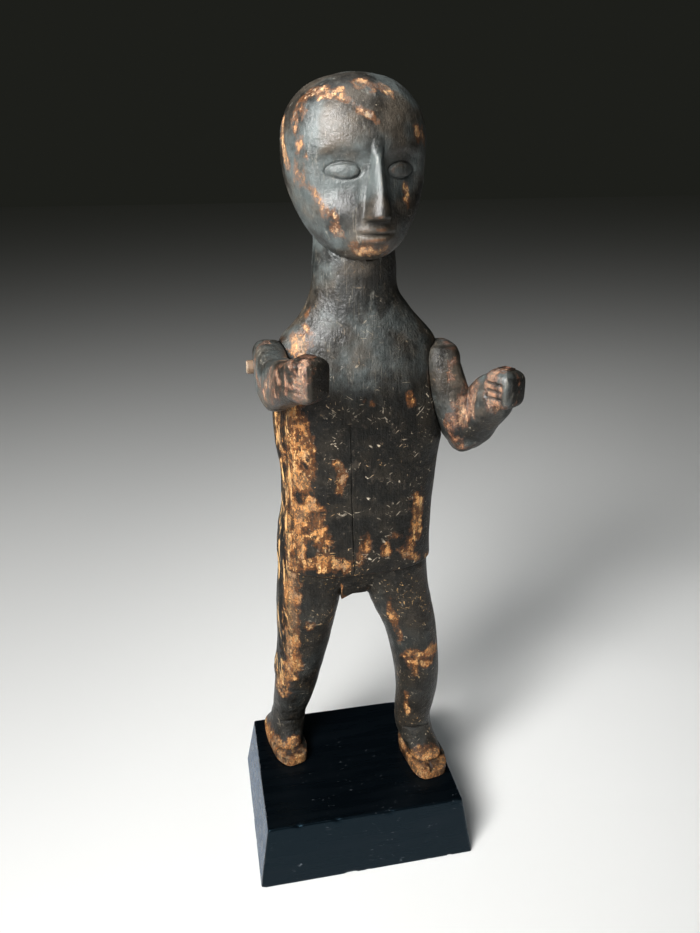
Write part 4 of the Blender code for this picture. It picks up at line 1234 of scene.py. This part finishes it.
def arm_piece(name, side, upper, forearm, fist, wear, creases, arm_bloom):
    """Join an arm's three forms, wear it with its fingers' grooves, and cut the peg's hole.

    The bloom and painted sheen is less in the seat, and painted shade takes it down on the fist's side
    towards the figure's left, on undersides and low down.
    """
    arm = linked("carved_" + name + "_arm", limb_loft(name + "_upper_arm", upper, side, *UPPER_ARM_GRID))
    mesh = carved(arm, [
        ("UNION", limb_loft(name + "_forearm", forearm, side, *FOREARM_GRID, 0.0, FOREARM_SQUARENESS)),
        ("UNION", fist_mesh(name + "_fist", fist, side)),
    ])
    points, normals = mesh_points(mesh)
    places = in_modules(points)
    outward = side * (places[:, 0] - SHOULDER[0]) - SHOULDER_REACH
    inner = (1 - step_up(outward, -0.4, 0.6)) * step_up(places[:, 1], -7.5, -5.5)
    creases = creases + finger_creases(fist, side)
    weathered(mesh, wear, creases, inner, np.zeros(len(points)), (), ARM_FACETS)
    knuckle = in_modules(fist_place(fist, side, np.zeros(3)))
    reach = np.linalg.norm(places - knuckle, axis=1)
    # Painted shade: less sheen on the fist's facet towards the figure's left, on undersides and low down
    facet = step_up(places[:, 0] - knuckle[0], -0.1, 0.5) * (1 - step_up(reach, 3.6, 4.4))
    under = step_up(-normals[:, 2], 0.1, 0.7)
    low = 1 - step_up(places[:, 2], 56.5, 62.0)
    bloom = arm_bloom * (1 - 0.5 * inner) * (1 - 0.85 * facet) * (1 - 0.55 * under) * (1 - 0.6 * low)
    kept(mesh, bloom=bloom, flecked=np.full(len(points), ARM_FLECKED))
    carved(arm, [("DIFFERENCE", peg_bore(name))])
    arm.data.materials.clear()
    arm.data.materials.append(arm_patina)
    arm.data.shade_smooth()
    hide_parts(name + "_arm")
    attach(arm, "root")


arm_patina = patinated_wood("arm_patina", ARM_WOOD, ARM_FRAY)
arm_piece("right", -1, RIGHT_UPPER_ARM, RIGHT_FOREARM, RIGHT_FIST, RIGHT_ARM_WEAR, (), RIGHT_ARM_BLOOM_AND_SHEEN)
arm_piece(
    "left", 1, LEFT_UPPER_ARM, LEFT_FOREARM, LEFT_FIST, LEFT_ARM_WEAR, LEFT_ARM_CREASES, LEFT_ARM_BLOOM_AND_SHEEN,
)

# Shoulder pegs: two whittled rounds of paler wood, driven through arm and shoulder. The right
# one stands proud and shows its end grain; the left one ends almost flush.
PEG_ROUND = 0.0012
PEG_WHITTLE = 0.00012
PEG_FLATS = 9
PEG_ROWS = 60
PEG_COLUMNS = 72
PEG_TAN = (0.25, 0.175, 0.110, 1.0)
PEG_PALE = (0.44, 0.35, 0.25, 1.0)
PEG_FIBRE_AND_SHADE = (0.10, 0.055, 0.030, 1.0)


def whittled_peg(name):
    """A round bar along X with both ends rounded over, drawn in along flat knife strokes."""
    low, high = (np.array(corner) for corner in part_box(name))
    radius = (high[2] - low[2]) / 2
    along, inset = eased_profile(high[0] - low[0], PEG_ROUND, 7, PEG_ROWS)
    x = (low[0] + along)[:, None]
    turn = 2 * pi * np.arange(PEG_COLUMNS) / PEG_COLUMNS
    flats = PEG_WHITTLE * np.abs(np.sin(turn * PEG_FLATS / 2 + 0.4 * np.sin(x * 400)))
    ring = radius - inset[:, None] - PEG_WHITTLE + flats
    y = (low[1] + high[1]) / 2 + ring * np.cos(turn)
    z = (low[2] + high[2]) / 2 + ring * np.sin(turn)
    return shell("whittled_" + name, np.stack((x + 0 * y, y, z), axis=-1))


def peg_finish(name):
    """Pale end grain: rings about the peg's own axis, fibres along X, and painted shade darkening its rim
    and sides.
    """
    low, high = (np.array(corner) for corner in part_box(name))
    finish, tree, place = new_finish(name + "_wood")
    middle = (low + high) / 2
    local = put(tree, "Mapping", {"Vector": place, "Location": (0.0, -middle[1], -middle[2])}).outputs[0]
    across = put(tree, "Mapping", {"Vector": local, "Scale": (0.0, 1.0, 1.0)}).outputs[0]
    off = put(tree, "VectorMath", {0: across}, operation="LENGTH").outputs["Value"]
    radius = (high[2] - low[2]) / 2
    rim_shade = ramp(tree, off, radius * 0.72, radius * 0.98)
    ring_sockets = {"Vector": local, "Scale": 420.0, "Distortion": 3.0, "Detail": 2.0}
    rings = put(tree, "TexWave", ring_sockets, wave_type="RINGS", rings_direction="X").outputs[1]
    fibre = drawn_cloud(tree, place, (0.06, 1.0, 1.0), 1400)
    colour = tint(tree, ramp(tree, rings, 0.2, 0.8, 0.2, 1.0), PEG_TAN, PEG_PALE)
    colour = tint(tree, ramp(tree, fibre, 0.5, 0.7, 0.0, 0.6), colour, PEG_FIBRE_AND_SHADE)
    # Painted shade: the end's rim and the peg's sides are darkened
    colour = tint(tree, product(tree, rim_shade, 0.75), colour, PEG_FIBRE_AND_SHADE)
    bump = put(tree, "Bump", {"Height": fibre, "Strength": 0.6, "Distance": 0.0002}).outputs[0]
    plug(tree, tree.nodes["Principled BSDF"], {"Base Color": colour, "Roughness": 0.6, "Normal": bump})
    return finish


for name in ("right_shoulder_peg", "left_shoulder_peg"):
    peg = linked("whittled_" + name, whittled_peg(name))
    peg.data.materials.append(peg_finish(name))
    peg.data.shade_smooth()
    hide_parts(name)
    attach(peg, "root")

# Stage: a pale floor under soft studio light from the upper left, a dim room, and the camera
# at the photo's height, distance and tilt.
FLOOR_HALF = 6.0
FLOOR_PALE = (0.82, 0.82, 0.81, 1.0)
ROOM_DIM = (0.0123, 0.0130, 0.0105, 1.0)
CAMERA_PLACE = (-0.0997, -0.4878, 0.5344)
CAMERA_DOWN = 23.57
CAMERA_RIGHT = 11.38
CAMERA_LENS = 29.79
floor_mesh = bpy.data.meshes.new("floor")
floor_corners = FLOOR_HALF * np.array(((-1, -1, 0), (1, -1, 0), (1, 1, 0), (-1, 1, 0)))
floor_mesh.from_pydata(floor_corners, [], [(0, 1, 2, 3)])
floor = linked("floor", floor_mesh)
pale = bpy.data.materials.new("pale_floor")
pale.use_nodes = True
plug(pale.node_tree, pale.node_tree.nodes["Principled BSDF"], {"Base Color": FLOOR_PALE, "Roughness": 0.9})
floor_mesh.materials.append(pale)


def soft_light(name, place, target, size, power, colour, spread=180):
    """A square area light at a place, turned to a target, its beam held to a spread in degrees."""
    lamp = bpy.data.lights.new(name, "AREA")
    lamp.shape = "SQUARE"
    lamp.size = size
    lamp.energy = power
    lamp.color = colour
    lamp.spread = radians(spread)
    thing = linked(name, lamp)
    thing.location = place
    thing.rotation_euler = (Vector(target) - Vector(place)).to_track_quat("-Z", "Y").to_euler()


soft_light("key", (-0.66, -0.60, 1.12), (0.0, 0.0, 0.28), 0.50, 18.5, (1.0, 0.99, 0.97))
soft_light("front", (-0.66, -0.56, 0.85), (0.0, 0.0, 0.42), 0.28, 0.9, (1.0, 1.0, 0.99), 48)
soft_light("top", (-0.15, 0.05, 1.30), (0.0, 0.0, 0.30), 0.80, 2.6, (0.90, 0.96, 1.0))
soft_light("foot", (-0.50, -0.95, 0.62), (0.0, -0.12, 0.02), 0.50, 1.5, (1.0, 1.0, 1.0), 80)
soft_light("fill", (0.90, -0.90, 0.70), (0.0, 0.0, 0.30), 0.80, 0.5, (0.88, 0.95, 1.0))

world = bpy.data.worlds.new("studio")
world.use_nodes = True
plug(world.node_tree, world.node_tree.nodes["Background"], {"Color": ROOM_DIM, "Strength": 1.0})
bpy.context.scene.world = world
bpy.context.scene.view_settings.view_transform = "Standard"

lens = bpy.data.cameras.new("camera")
lens.sensor_width = 36.0
lens.lens = CAMERA_LENS
camera = linked("camera", lens)
camera.location = CAMERA_PLACE
camera.rotation_euler = (radians(90 - CAMERA_DOWN), 0.0, radians(-CAMERA_RIGHT))
bpy.context.scene.camera = camera
